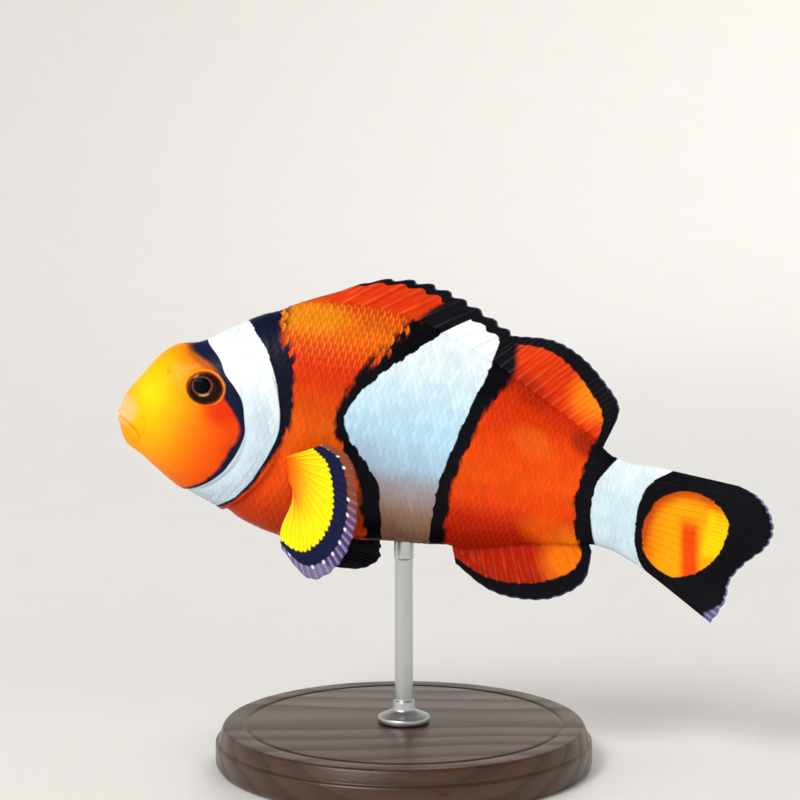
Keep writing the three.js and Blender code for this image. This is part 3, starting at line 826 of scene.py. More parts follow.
class Net:
    """Short ways to lay the nodes of one tree."""

    def __init__(self, tree):
        self.tree = tree

    def put(self, socket, value):
        if isinstance(value, Wire):
            self.tree.links.new(value.socket, socket)
        elif socket.type == "RGBA":
            socket.default_value = (*paint(value), 1)
        else:
            socket.default_value = value

    def add(self, kind, given=(), **settings):
        """Adds a node and fills the inputs given by name or number."""
        node = self.tree.nodes.new("ShaderNode" + kind)
        for key, value in settings.items():
            setattr(node, key, value)
        for key, value in dict(given).items():
            self.put(node.inputs[key], value)
        return node

    def lay(self, kind, given=(), result=0, **settings):
        """Adds a node and returns one of its outputs."""
        return Wire(self, self.add(kind, given, **settings).outputs[result])

    def math(self, operation, *values):
        return self.lay("Math", enumerate(values), operation=operation)

    def root(self, value):
        return self.math("SQRT", value)

    def away(self, a, b):
        """The distance from two numbers that lie square to each other."""
        return self.root(a * a + b * b)

    def most(self, a, b):
        return self.math("MAXIMUM", a, b)

    def part(self, value):
        """What a number has past its whole."""
        return self.math("FRACT", value)

    def from_whole(self, value):
        """How far a number is from the nearest whole one."""
        return abs(self.part(value + 0.5) - 0.5)

    def share(self, value, low, high):
        """0 at low and 1 at high, straight between them."""
        return self.lay("MapRange", {"Value": value, "From Min": low, "From Max": high})

    def fade(self, value, start, end):
        """0 at start and 1 at end, eased."""
        given = {"Value": value, "From Min": start, "From Max": end}
        return self.lay("MapRange", given, interpolation_type="SMOOTHSTEP")

    def mix(self, share, a, b, blend="MIX"):
        """From colour a to colour b. The numbers are the colour sockets of the Mix node."""
        return self.lay("Mix", {0: share, 6: a, 7: b}, 2, data_type="RGBA", blend_type=blend)

    def shaded(self, colour, shade):
        """A colour made darker or lighter all through by a number."""
        return self.mix(1.0, colour, self.join(shade, shade, shade), "MULTIPLY")

    def curve(self, value, points, low, high, span):
        """A smooth curve through (value, result) points; results run from 0 to span."""
        node = self.add("FloatCurve", {"Value": self.share(value, low, high)})
        line = node.mapping.curves[0]
        spots = sorted(((a - low) / (high - low), b / span) for a, b in points)
        line.points[0].location, line.points[1].location = spots[0], spots[-1]
        for spot in spots[1:-1]:
            line.points.new(*spot)
        node.mapping.update()
        return Wire(self, node.outputs[0]) * span

    def ramp(self, value, stops):
        """Colours, by their codes, along a value that runs from 0 to 1."""
        node = self.add("ValToRGB", {0: value})
        bar = node.color_ramp
        for place, _ in stops[2:]:
            bar.elements.new(place)
        for element, (place, colour) in zip(bar.elements, sorted(stops, key=lambda stop: stop[0])):
            element.position = place
            element.color = (*paint(colour), 1)
        return Wire(self, node.outputs[0])

    def join(self, *parts):
        return self.lay("CombineXYZ", enumerate(parts))

    def split(self, vector):
        return [Wire(self, socket) for socket in self.add("SeparateXYZ", {0: vector}).outputs]

    def uv(self, title):
        return self.split(self.lay("UVMap", uv_map=title))[:2]

    def place(self):
        return self.lay("TexCoord", result="Object")

    def noise(self, scale, detail, rough, where=None, squeeze=None):
        where = where or self.place()
        if squeeze:
            where = self.lay("Mapping", {"Vector": where, "Scale": squeeze})
        given = {"Vector": where, "Scale": scale, "Detail": detail, "Roughness": rough}
        return self.lay("TexNoise", given)

    def patch(self, length, height, place, halves, tilt):
        """1 in the middle of a tilted ellipse in the plan, easing to 0 at its edge."""
        given = {
            "Vector": self.join(length, height),
            "Location": (*place, 0),
            "Rotation": (0, 0, math.radians(tilt)),
            "Scale": (*halves, 1),
        }
        inside = self.lay("Mapping", given, vector_type="TEXTURE")
        away = self.lay("VectorMath", {0: inside}, "Value", operation="LENGTH")
        return self.fade(away, 1.0, 0.3)

    def bump(self, height, distance, strength):
        return self.lay("Bump", {"Strength": strength, "Distance": distance, "Height": height})

    def group(self, tree, **values):
        """Places a shared effect and returns its outputs by name."""
        given = {title.capitalize(): value for title, value in values.items()}
        return {s.name: Wire(self, s) for s in self.add("Group", given, node_tree=tree).outputs}


def effect(name, takes, gives, lay):
    """The node group of a shared effect; lay gets its net and inputs and returns its outputs."""
    if name in bpy.data.node_groups:
        return bpy.data.node_groups[name]
    tree = bpy.data.node_groups.new(name, "ShaderNodeTree")
    for title in takes:
        tree.interface.new_socket(title, in_out="INPUT", socket_type="NodeSocketFloat")
    for title in gives:
        kind = "NodeSocketColor" if title == "Colour" else "NodeSocketFloat"
        tree.interface.new_socket(title, in_out="OUTPUT", socket_type=kind)
    net = Net(tree)
    given = tree.nodes.new("NodeGroupInput").outputs
    result = tree.nodes.new("NodeGroupOutput").inputs
    laid = lay(net, *(Wire(net, given[title]) for title in takes))
    for title, value in zip(gives, laid):
        net.put(result[title], value)
    return tree


SOCKETS = {"ior": "IOR", "specular_level": "Specular IOR Level"}


def new_finish(name, look=None, **constants):
    """A material: look lays what changes over the surface, and the shader holds the constants."""
    if name in bpy.data.materials:
        return bpy.data.materials[name]
    material = bpy.data.materials.new(name)
    material.use_nodes = True
    net = Net(material.node_tree)
    shader = next(n for n in net.tree.nodes if n.type == "BSDF_PRINCIPLED")
    for key, value in {**constants, **(look(net) if look else {})}.items():
        net.put(shader.inputs[SOCKETS.get(key, key.replace("_", " ").title())], value)
    return material


# ---- finishes: shared effects ----------------------------------------------------------------
def past(net, place, edge, soft):
    """1 where a place is past an edge, with soft as half the width of the blend."""
    return net.fade(place - edge, soft * -1.0, soft)


def by_height(net, height, stops):
    """Colours at heights in the plan."""
    low, high = COLOUR_HEIGHTS
    places = [((v - low) / (high - low), colour) for v, colour in stops]
    return net.ramp(net.share(height, low, high), places)


def bands(net, height, sharp, loose):
    """How far a place is in the black and in the white of the three bands."""
    low, high = PLAN_HEIGHTS
    soft = 0.28 + net.fade(height, 6.0, 12.0) * 0.25
    black = white = None
    for front_line, rear_line, front_widths, rear_widths in BANDS:
        front, rear = (net.curve(height, line, low, high, PLAN_LENGTH) for line in (front_line, rear_line))
        reach = front - net.curve(height, front_widths, low, high, WIDEST_BLACK)
        if front_line is HEAD_BAND_FRONT:
            brow = net.fade(height, 6.0, 7.6) * 0.32
            dark = past(net, loose, reach, soft + brow) ** 0.5
        else:
            dark = past(net, loose, reach, soft)
        pale = past(net, sharp, front, WHITE_BLEND) * past(net, -sharp, -rear, WHITE_BLEND)
        if rear_widths:
            end = rear + net.curve(height, rear_widths, low, high, WIDEST_BLACK)
            dark = dark * past(net, -loose, -end, soft)
        black = net.most(black, dark) if black else dark
        white = net.most(white, pale) if white else pale
    return black, white


def ground(net, length, height, sharp, wander):
    """The ground colours: by height on the trunk, by distance from the cheek on the head; the darker belly
    and some soft patches are partly painted shade and painted light.
    """
    trunk = net.mix(
        net.fade(length, 34.0, 42.0),
        by_height(net, height, FRONT_GROUND),
        by_height(net, height, REAR_GROUND),
    )
    du = (length - CHEEK[0]) * 1.3
    dv = height - CHEEK[1]
    dv = dv * (0.7 + net.fade(dv, -1.0, 2.0) * 0.15)
    out = net.away(du, dv) + wander * 1.2
    head = net.ramp(out / CHEEK_REACH, HEAD_GROUND)
    neck = net.curve(height, HEAD_BAND_FRONT, *PLAN_HEIGHTS, PLAN_LENGTH)
    colour = net.mix(past(net, -sharp, -neck, 0.5), trunk, head)
    for u, v, half_u, half_v, tilt, share, code in SHADES:
        soft = net.patch(length, height, (u, v), (half_u, half_v), tilt)
        colour = net.mix(soft * share, colour, code)
    return colour


def orbit(net, length, height, colour):
    """The thin bright ring round the eye, and the brown of its socket."""
    (eye_u, _, eye_v), radius = eye_place()
    back, up = length - eye_u, height - eye_v
    from_eye = net.away(back / EYE_OVAL[0], up / EYE_OVAL[1])
    from_rim = from_eye - (radius - 0.26) - up * 0.04
    ring = net.fade(abs(from_rim), 0.22, 0.04) * (0.1 + net.fade(back + up, -1.5, 1.5) * 0.55)
    colour = net.mix(ring, colour, "fc9a20")
    return net.mix(net.fade(from_eye, radius - 0.2, radius - 0.5) * 0.8, colour, "8a3c08")


def tail_spot(net, height, sharp, wander):
    """The spot on the tail: orange with a redder rim and a red streak of painted shadow along a fold, yellow
    towards the margin.
    """
    x, y = sharp - TAIL_SPOT[0], height - TAIL_SPOT[1]
    away = net.root(x * x + y * y * 0.97)
    flatter = x * 0.83 - y * 0.56 - 2.6
    away = away + net.most(flatter, 0.0) * 0.38
    ragged = (net.noise(2400, 2, 0.5) - 0.5) * net.fade(x, -2.0, 3.0)
    away = away + (wander * 0.45 + ragged * 0.5)
    gold = net.fade(x, 1.7, 2.7) * net.fade(abs(y - 0.8), 3.6, 2.2)
    colour = net.mix(gold, "fda202", "ffce02")
    colour = net.mix(net.fade(x, -1.8, -5.2) * 0.7, colour, "f06a04")
    # The red streak across the spot is painted shadow along a fold in the fin.
    from_fold_shadow = abs(x + y * 0.197 - 0.5)
    streak = net.fade(from_fold_shadow + wander * 0.8, 1.55, 0.45) * net.fade(y, 2.8, 0.4)
    colour = net.mix(streak * 0.92, colour, "ea3602")
    rim = net.fade(away, TAIL_SPOT_RADIUS - 1.8, TAIL_SPOT_RADIUS - 0.1)
    rim = rim * net.fade(y - x * 0.8, -2.5, 4.0)
    colour = net.mix(rim * 0.9, colour, "c43a02")
    return net.fade(away, TAIL_SPOT_RADIUS + 0.09, TAIL_SPOT_RADIUS - 0.09), colour


def band_white(net, length, height, colours):
    """The white of the bands: greyer and bluish low down, partly painted shade, and grey-brown under the
    middle band, painted shade with a warm painted reflection.
    """
    # Greyer low down: partly painted shade.
    low_white = net.mix(net.fade(length, 30.0, 50.0), "cadce8", "d8edf5")
    chalk = net.mix(net.fade(height, 9.0, 0.0), colours.white, low_white)
    middle = net.fade(length, 23.0, 27.0) * net.fade(length, 54.0, 48.0)
    return net.mix(middle, chalk, by_height(net, height, MIDDLE_BAND_WHITE_AND_SHADE))


def markings(colours):
    """The fish's colours by place in the plan: white bands, black edges, ground colours, tail spot."""

    def lay(net, length, height, fray, shift):
        wander = (net.noise(700, 3, 0.6) - 0.5) * fray
        sharp = length + wander * 0.16
        loose = length + shift + wander * 1.1
        black, white = bands(net, height, sharp, loose)
        blue = net.fade(length, 26.0, 8.0)
        ink = net.mix(blue * 0.8, colours.black, "141c40")
        colour = net.mix(black, ground(net, length, height, sharp, wander), ink)
        colour = orbit(net, length, height, colour)
        spot, spot_colour = tail_spot(net, height, sharp, wander)
        colour = net.mix(spot, colour, spot_colour)
        colour = net.mix(white, colour, band_white(net, length, height, colours))
        return colour, white, black * (1.0 - net.most(white, spot))

    takes = ("Length", "Height", "Fray", "Shift")
    return effect("Markings", takes, ("Colour", "White", "Black"), lay)


def moist():
    """Fine unevenness of wet skin: a shade for colours, a roughness and a height."""

    def lay(net, roughness):
        cloud, grain = net.noise(420, 3, 0.55), net.noise(5200, 2, 0.6)
        shade = 0.86 + (cloud + grain * 0.25) * 0.22
        return shade, roughness + (cloud - 0.5) * 0.22, grain

    return effect("Moist skin", ("Roughness",), ("Shade", "Roughness", "Height"), lay)


def fin_rays():
    """Fin rays by ray count and share along: how near a ray is, its joints, and streaks."""

    def lay(net, across, along):
        forked = net.fade(along, 0.5, 0.75)
        whole = net.fade(net.from_whole(across), 0.2, 0.05) * (1.0 - forked)
        pair = net.fade(net.from_whole(across * 2.0), 0.3, 0.1) * forked
        joint = net.fade(net.part(along * 40.0), 0.35, 0.1) * net.fade(along, 0.2, 0.4)
        streak = net.noise(1.6, 3, 0.6, where=net.join(across * 3.0, along * 2.0))
        return net.most(whole, pair), joint, streak

    return effect("Fin rays", ("Across", "Along"), ("Ray", "Joint", "Streak"), lay)


# ---- finishes: materials ---------------------------------------------------------------------
WET = {"coat_weight": 0.03, "coat_roughness": 0.12, "ior": 1.33, "specular_level": 0.15}
SKIN_GLOW = {"subsurface_weight": 0.10, "subsurface_radius": (1.0, 0.45, 0.2), "subsurface_scale": 0.0007}
FIN_GLOW = {"subsurface_weight": 0.12, "subsurface_radius": (1.0, 0.5, 0.2), "subsurface_scale": 0.0005}


def skin_finish(colours, scales):
    """Wet skin in the fish's markings; on the scales it also has growth rings and gilt edges, partly a
    painted sheen that is strongest on the upper front of the back.
    """

    def look(net):
        u, v = net.uv("plan")
        wet = net.group(moist(), roughness=0.36)
        shade, height, shift = wet["Shade"], wet["Height"], 0.0
        if scales:
            luck = net.uv("luck")[0]
            shift = (luck - 0.5) * (0.4 + net.fade(v, 6.0, 12.0) * net.fade(u, 40.0, 36.0) * 1.3)
        marks = net.group(markings(colours), length=u, height=v, fray=0.7, shift=shift)
        colour = marks["Colour"]
        if scales:
            along, across = net.uv("cell")
            plain = 1.0 - net.most(marks["White"], marks["Black"])
            # Gilt crescents on the scales: partly their own gold and partly a painted sheen, strongest on
            # the upper front of the back.
            crescent = net.fade(abs(along - 0.83), 0.13, 0.03) * net.fade(across, 0.9, 0.5)
            gilt_and_sheen = net.fade(v, 8.5, 13.5) * net.fade(u, 44.0, 34.0)
            colour = net.mix(crescent * plain * (0.04 + gilt_and_sheen * 0.28), colour, "ffb43a")
            shade = shade * (0.94 + luck * 0.12)
            shade = shade * (1.0 - net.fade(along, 0.93, 1.0) * 0.13)
            height = height + net.math("SINE", along * GROWTH_WAVES) * 0.35
        return {
            "base_color": net.shaded(colour, shade),
            "roughness": wet["Roughness"],
            "normal": net.bump(height, 0.00002 if scales else 0.00003, 0.5),
        }

    return new_finish("Scales" if scales else "Skin", look, **SKIN_GLOW, **WET)


class FinPlace:
    """What a fin's finish reads: its place in the plan, across and along its rays, and its margin."""

    def __init__(self, net):
        self.net = net
        self.u, self.v = net.uv("plan")
        self.across, self.along = net.uv("ray")
        self.to_margin, self.zone = net.uv("margin")
        rays = net.group(fin_rays(), across=self.across, along=self.along)
        self.ray, self.joint, self.streak = (rays[title] for title in ("Ray", "Joint", "Streak"))
        self.uneven = (self.streak - 0.5) * 0.5


def fin_finish(name, colours_of):
    """A thin fin with ribs in relief; colours_of lays its own colours and, for a clear margin, its alpha."""

    def look(net):
        fin = FinPlace(net)
        wet = net.group(moist(), roughness=0.42)
        colour, alpha = colours_of(fin)
        shade = wet["Shade"] * (1.04 - fin.joint * 0.08)
        ribs = fin.ray * 0.7 + (fin.streak * 0.6 - fin.joint * 0.15)
        fed = {
            "base_color": net.shaded(colour, shade),
            "roughness": wet["Roughness"],
            "normal": net.bump(ribs, 0.00006, 0.6),
        }
        return {**fed, "alpha": alpha} if alpha else fed

    return new_finish(name, look, **FIN_GLOW, **WET)


def marked_fin(fin, colours):
    """The body's markings carried on to a fin, with lighter rays."""
    net = fin.net
    marks = net.group(markings(colours), length=fin.u, height=fin.v, fray=0.6)
    colour = marks["Colour"]
    lighter = net.mix(fin.ray * 0.10, colour, net.mix(0.5, colour, "ffb040"))
    return colour, lighter, 1.0 - net.most(marks["White"], marks["Black"])


def median_colours(fin, colours):
    """The dorsal and anal fins: streaked ground and a black margin with a pale hem."""
    net = fin.net
    colour, streaked, plain = marked_fin(fin, colours)
    clear = net.fade(fin.along, 0.1, 0.6)
    dark, light = net.fade(fin.streak, 0.50, 0.32), net.fade(fin.streak, 0.52, 0.70)
    streaked = net.mix(dark * clear * 0.32, streaked, "a82002")
    streaked = net.mix(light * clear * 0.24, streaked, "ff8418")
    colour = net.mix(plain, colour, streaked)
    margin = net.fade(fin.zone + fin.uneven * 0.35, 1.05, 0.95)
    colour = net.mix(margin, colour, colours.black)
    hem = net.fade(fin.to_margin + fin.uneven, 0.22, 0.08) * 0.3
    return net.mix(hem, colour, "8f8fc6"), None


def tail_colours(fin, colours):
    """The tail fin: the markings' black with its spot, and a pale fringe between the rays' tips."""
    net = fin.net
    colour, lighter, plain = marked_fin(fin, colours)
    colour = net.mix(plain, colour, lighter)
    fringe = net.fade(fin.zone + fin.uneven, 1.0, 0.55) * (0.35 + fin.ray * 0.5)
    return net.mix(fringe, colour, "8f8fc6"), None


def pectoral_colours(fin, colours, rays):
    """The side fins: a yellow fan, a toothed navy border, white dots and a clear lilac margin."""
    net = fin.net
    fan = net.ramp(fin.zone / 3.0, [(0.0, colours.orange), *FAN_YELLOW])
    fan = net.mix((1.0 - fin.ray) * 0.35, fan, "fbb004")
    teeth = (abs(net.part(fin.across * 2.0) - 0.5) - 0.25) * 0.13
    border = net.fade(fin.zone + (teeth + fin.uneven * 0.3), 0.98, 1.03)
    colour = net.mix(border, fan, "10163a")
    clear = net.fade(fin.zone + fin.uneven * 0.1, 1.97, 2.05)
    lilac = net.mix(fin.ray, "5c4a72", "8f7fb4")
    lilac = net.mix(net.fade(fin.across / rays, 0.5, 0.3), lilac, "8c4c38")
    colour = net.mix(clear, colour, lilac)
    ray_number = net.math("FLOOR", fin.across + 0.5)
    luck = net.lay("TexWhiteNoise", {"W": ray_number}, "Value", noise_dimensions="1D")
    dot = net.fade(net.from_whole(fin.across), 0.15, 0.07) * net.fade(abs(fin.zone - 2.06), 0.17, 0.08)
    dot = dot * net.fade(luck, 0.0, 0.45)
    colour = net.mix(dot, colour, "e8ecff")
    solid = net.most(fin.ray * 0.85, dot)
    return colour, net.most(1.0 - clear, 0.6 + solid * 0.35)


def pelvic_colours(fin, colours):
    """The belly fins: orange at the root, then black with a bluish hem."""
    net = fin.net
    leaf = [(0.0, "ee5a06"), (0.3, "e84c04"), (0.42, colours.black), (0.9, colours.black)]
    hem = net.fade(fin.to_margin, 0.2, 0.05) * 0.3
    return net.mix(hem, net.ramp(fin.along, leaf), "3a4468"), None


def iris_finish():
    """A black pupil, a coppery ring, a dark iris and an orange edge, with fine fibres all through, a painted
    gold glint below the pupil and a painted pale highlight above it.
    """

    def look(net):
        radius, turn = net.uv("eye")
        angle = turn * math.tau
        rear, up = net.math("COSINE", angle), net.math("SINE", angle)
        fibres = net.noise(5.0, 4, 0.65, where=net.join(radius * 1.2, up * 1.5, rear * 1.5))
        out = radius + (fibres - 0.5) * 0.22
        colour = net.ramp(out / IRIS_RADIUS, IRIS_RINGS)
        # A painted gold glint of light along the pupil's lower edge.
        glint = net.fade(net.math("COSINE", angle - PAINTED_GLINT_TURN), 0.80, 0.97)
        glint = glint * net.fade(abs(out - 1.24), 0.14, 0.04)
        colour = net.mix(glint, colour, "e8a35c")
        olive = net.fade(rear, 0.2, 0.9) * net.fade(abs(radius - 1.6), 0.4, 0.1)
        colour = net.mix(olive * 0.4, colour, "1c1e14")
        # A pale painted highlight on the iris's upper front.
        painted_highlight = net.fade(net.math("COSINE", angle - PAINTED_HIGHLIGHT_TURN), 0.965, 0.995)
        painted_highlight = painted_highlight * net.fade(abs(out - 1.62), 0.34, 0.1)
        return {
            "base_color": net.mix(painted_highlight * 0.9, colour, "ccaaa4"),
            "roughness": 0.18 + fibres * 0.25,
            "normal": net.bump(fibres, 0.00008, 0.5),
        }

    return new_finish("Iris", look, ior=1.08)


def cornea_finish():
    """Clear and wet, with little bend of its own."""
    return new_finish("Cornea", base_color=(1, 1, 1), transmission_weight=1.0, roughness=0.0, ior=1.1)


def wood_finish(colours):
    """Dark turned wood: rings round a pith below the base, pores along the grain."""

    def look(net):
        _, y, z = net.split(net.place())
        warp = net.noise(28, 3, 0.5, squeeze=(0.25, 1, 1))
        from_pith = net.root(y**2.0 + (z + PITH_DEPTH) ** 2.0)
        rings = net.part(from_pith * RINGS_A_METRE + warp * 7.0)
        late = net.fade(rings, 0.25, 0.95) * net.fade(rings, 1.0, 0.94)
        pores = net.fade(net.noise(2600, 2, 0.5, squeeze=(0.06, 1, 1)), 0.60, 0.72)
        cloud = net.noise(90, 3, 0.6, squeeze=(0.15, 1, 1))
        colour = net.mix(late, colours.wood, "1d0f08")
        colour = net.mix(cloud * 0.4, colour, "5a351c")
        return {
            "base_color": net.mix(pores * 0.7, colour, "120905"),
            "roughness": 0.34 + late * 0.12,
            "normal": net.bump(late * 0.3 - pores, 0.00004, 0.5),
        }

    return new_finish("Turned wood", look, coat_weight=0.2, coat_roughness=0.25)


def steel_finish():
    """Satin steel with fine turning marks and faint smudges."""

    def look(net):
        turning, smudge = net.noise(3000, 2, 0.5, squeeze=(0.05, 0.05, 1)), net.noise(160, 3, 0.6)
        return {
            "roughness": 0.24 + (turning * 0.1 + smudge * 0.1),
            "normal": net.bump(turning, 0.00001, 0.4),
        }

    return new_finish("Satin steel", look, base_color="c9ccce", metallic=1.0, anisotropic=0.4)


def floor_finish(settings):
    """Pale paper with a faint mottle."""

    def look(net):
        mottle = net.noise(60, 4, 0.6) * 0.12
        return {"base_color": net.mix(mottle, settings.floor, "cfcac2")}

    return new_finish("Pale floor", look, roughness=0.6)


# ---- making the fins -------------------------------------------------------------------------
def by_place(places, widths):
    """A width that changes across a fin."""
    return lambda t: np.interp(t, places, widths)


def median_fins(context):
    """The spiny and soft dorsal fins, the anal fin and the tail fin."""
    sizes, colours = context.scene.clownfish, context.scene.clownfish_colours
    finish = fin_finish("Dorsal and anal fins", lambda fin: median_colours(fin, colours))
    tail = fin_finish("Tail fin", lambda fin: tail_colours(fin, colours))
    fin_piece(
        "fin_dorsal_spiny", median_middle(BACK, 16.4, 40.5, SPINY_MARGIN, 0.25, 2.0, lean=0.55),
        sizes.spines, finish, "dorsal_fin_spiny",
        ray=0.42, spiny=True, scallop=0.06, per_ray=14,
        black=by_place([0, 0.08, 0.16, 0.6, 1], [0.25, 0.35, 1.0, 1.5, 1.6]),
    )
    fin_piece(
        "fin_dorsal_soft", median_middle(BACK, 40.5, 57.6, SOFT_MARGIN, 0.35, 2.0),
        sizes.soft_rays, finish, "dorsal_fin_soft",
        black=by_place([0, 0.3, 0.7, 0.9, 1], [1.5, 1.6, 2.2, 2.6, 2.0]),
    )
    fin_piece(
        "fin_anal", median_middle(BELLY, 42, 57.8, ANAL_MARGIN, 0.3, 1.6),
        sizes.anal_rays, finish, "anal_fin",
        black=by_place([0, 0.25, 0.6, 0.85, 1], [0.8, 1.7, 2.3, 2.0, 1.7]),
    )
    fin_piece(
        "fin_tail", tail_middle, sizes.tail_rays, tail, "tail_fin",
        root=1.25, ray=0.22, steps=64,
        black=by_place([0, 0.1, 0.4, 0.6, 0.9, 0.95, 1], [0.05, 0.4, 0.3, 0.2, 0.35, 1.3, 1.5]),
    )


def paired_fins(context, side):
    """The side fin and the belly fin of one side."""
    sizes, colours = context.scene.clownfish, context.scene.clownfish_colours
    hand = "left" if side < 0 else "right"
    rays = sizes.pectoral_rays
    yellow = fin_finish("Pectoral fins", lambda fin: pectoral_colours(fin, colours, rays))
    black = fin_finish("Pelvic fins", lambda fin: pelvic_colours(fin, colours))
    fin_piece(
        f"fin_pectoral_{hand}", fan_middle(PECTORAL_ROOT, PECTORAL_MARGIN, 0.9, 0.35, cup=0.4),
        rays, yellow, f"pectoral_fin_{hand}", zones=pectoral_zones, steps=64, mirror=-side,
    )
    fin_piece(
        f"fin_pelvic_{hand}", fan_middle(PELVIC_ROOT, PELVIC_MARGIN, 0.4, 0.15),
        sizes.pelvic_rays, black, f"pelvic_fin_{hand}", scallop=0.01, mirror=-side,
    )


# ---- eyes ------------------------------------------------------------------------------------
def eye_pieces(context, side):
    """An eyeball with iris and lens, and the clear dome over it, at the eye's solid."""
    hand = "left" if side < 0 else "right"
    middle, radius = eye_place(hand)
    shoulder = EYE_SHOULDER * radius
    opening = middle + (0, side * shoulder, 0)
    level = math.cos(EYE_TILT)
    out = unit(np.array([-math.sin(EYE_TURN), side * math.cos(EYE_TURN) * level, math.sin(EYE_TILT)]))
    along = unit(np.array([1.0, 0, 0]) - out * out[0])
    up = unit(np.array([0, 0, 1.0]) - out * out[2] - along * along[2])

    def set_in(points):
        """Faces a form made round the eye's axis as the eye does, oval, with its front shifted."""
        x, y, z = points.T
        from_middle = y * side
        lean = fade(np.hypot(x, z), 1.9, 1.1) * (from_middle > 0.5 * radius)
        across = x * EYE_OVAL[0] + PUPIL_SET[0] * lean
        upward = z * EYE_OVAL[1] + PUPIL_SET[1] * lean
        outward = from_middle - shoulder
        return opening + np.outer(outward, out) + np.outer(across, along) + np.outer(upward, up)

    pupil = context.scene.clownfish.pupil_radius / MM
    profile = [(a * radius, b * radius) for a, b in EYEBALL_SHARES]
    profile += IRIS_PROFILE + [(pupil + 0.05, 1.62), (pupil, 1.57)]
    profile += [(pupil * s, 1.52 + 0.52 * math.sqrt(1 - s * s)) for s in np.linspace(0.96, 0, 9)]
    profile = np.array(profile)
    points, faces, turn = turned(profile * (1, side), 72, "y")
    ring = profile[np.rint(turn[:, 1] * (len(profile) - 1)).astype(int), 0]
    maps = {"eye": np.stack([ring, turn[:, 0]], -1), "OFBake": inset(turn)}
    ball = new_piece(
        f"eyeball_{hand}", placed(set_in(points)), [faces], maps, iris_finish(), (f"eye_{hand}",)
    )
    close_poles(ball.data)

    spread = np.linspace(CORNEA_SPAN, 0, 18)
    outer = np.stack([spread, np.sqrt(1 - spread**2)], -1) * radius
    outline = np.concatenate([outer, outer[::-1] * CORNEA_INSIDE, outer[:1]])
    points, faces, turn = turned(outline * (1, side), 72, "y")
    maps = {"OFBake": inset(turn)}
    dome = new_piece(f"cornea_{hand}", placed(set_in(points)), [faces], maps, cornea_finish())
    close_poles(dome.data)


# ---- stand and stage -------------------------------------------------------------------------
def rounded(points, radius, steps=5):
    """A profile with its inner corners rounded by small arcs."""
    held = np.asarray(points, float)
    done = [tuple(held[0])]
    for before, corner, after in zip(held, held[1:], held[2:]):
        a, b = corner - before, after - corner
        reach = min(radius, np.linalg.norm(a) / 2, np.linalg.norm(b) / 2)
        start, end = corner - unit(a) * reach, corner + unit(b) * reach
        for w in np.linspace(0, 1, steps):
            done.append(tuple(start * (1 - w) ** 2 + 2 * corner * w * (1 - w) + end * w**2))
    return np.array(done + [tuple(held[-1])])


def turned_piece(name, outline, around, finish, node):
    """A turned piece of the stand, from its outline in millimetres."""
    points, faces, turn = turned(outline, around)
    piece = new_piece(name, points * MM, [faces], {"OFBake": inset(turn)}, finish, (node,))
    close_poles(piece.data)


def base_piece(context):
    """The wooden base: a bevelled top with a turned line near its edge, over a stepped foot."""
    low, high = (np.asarray(corner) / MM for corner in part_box("stand_base"))
    wide, tall = (high - low)[0] / 2, high[2]
    bevel = context.scene.clownfish.base_bevel / MM
    waist = wide - 0.45
    outline = [
        (0, 0), (wide - 0.5, 0), (wide, 0.5), (wide, tall - 1.9), (waist, tall - 1.65), (waist, tall - 1.4),
        (wide - bevel, tall), (wide - 3.4, tall), (wide - 3.7, tall - 0.25), (wide - 4.0, tall), (0, tall),
    ]
    wood = wood_finish(context.scene.clownfish_colours)
    turned_piece("stand_foot", rounded(outline, 0.35), 192, wood, "stand_base")


def post_piece(context):
    """The steel rod with its flanged foot and a collar at the belly."""
    low, high = (np.asarray(corner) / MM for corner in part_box("stand_rod"))
    foot, top = low[2], high[2]
    rod, flange = context.scene.clownfish.rod_radius / MM, (high - low)[0] / 2
    shank = rod - 0.1
    outline = [
        (0, foot - 0.25), (flange, foot - 0.25), (flange, foot + 0.55), (flange - 0.9, foot + 0.85),
        (rod + 0.25, foot + 1.3), (rod + 0.12, foot + 2.4), (shank, foot + 2.55), (shank, top - 2.2),
        (rod, top - 2.0), (rod, top + 0.3), (0, top + 0.3),
    ]
    turned_piece("stand_post", rounded(outline, 0.3), 72, steel_finish(), "stand_rod")


def soft_light(name, place, size, power, shows):
    """A round soft light that faces the fish."""
    lamp = bpy.data.lights.new(name, "AREA")
    lamp.shape = "DISK"
    lamp.size = size
    lamp.energy = power
    holder = bpy.data.objects.new(name, lamp)
    bpy.context.scene.collection.objects.link(holder)
    holder.location = place
    holder.visible_glossy = shows
    holder.rotation_euler = (Vector(AIM) - Vector(place)).to_track_quat("-Z", "Y").to_euler()


def studio_floor(settings):
    """A pale floor that sweeps up all round into a low wall."""
    flat, bend, wall = FLOOR_FLAT, FLOOR_BEND, FLOOR_WALL
    arc = np.linspace(0, np.pi / 2, 16)
    profile = [(0, 0), (0.2, 0), (0.45, 0)]
    profile += [(flat + bend * math.sin(a), bend * (1 - math.cos(a))) for a in arc]
    points, faces, _ = turned(profile + [(flat + bend, wall)], 96)
    mesh = bpy.data.meshes.new("studio_floor")
    mesh.from_pydata(points.tolist(), [], faces.tolist())
    mesh.polygons.foreach_set("use_smooth", np.ones(len(mesh.polygons), bool))
    mesh.materials.append(floor_finish(settings))
    close_poles(mesh)
    floor = bpy.data.objects.new("studio_floor", mesh)
    bpy.context.scene.collection.objects.link(floor)


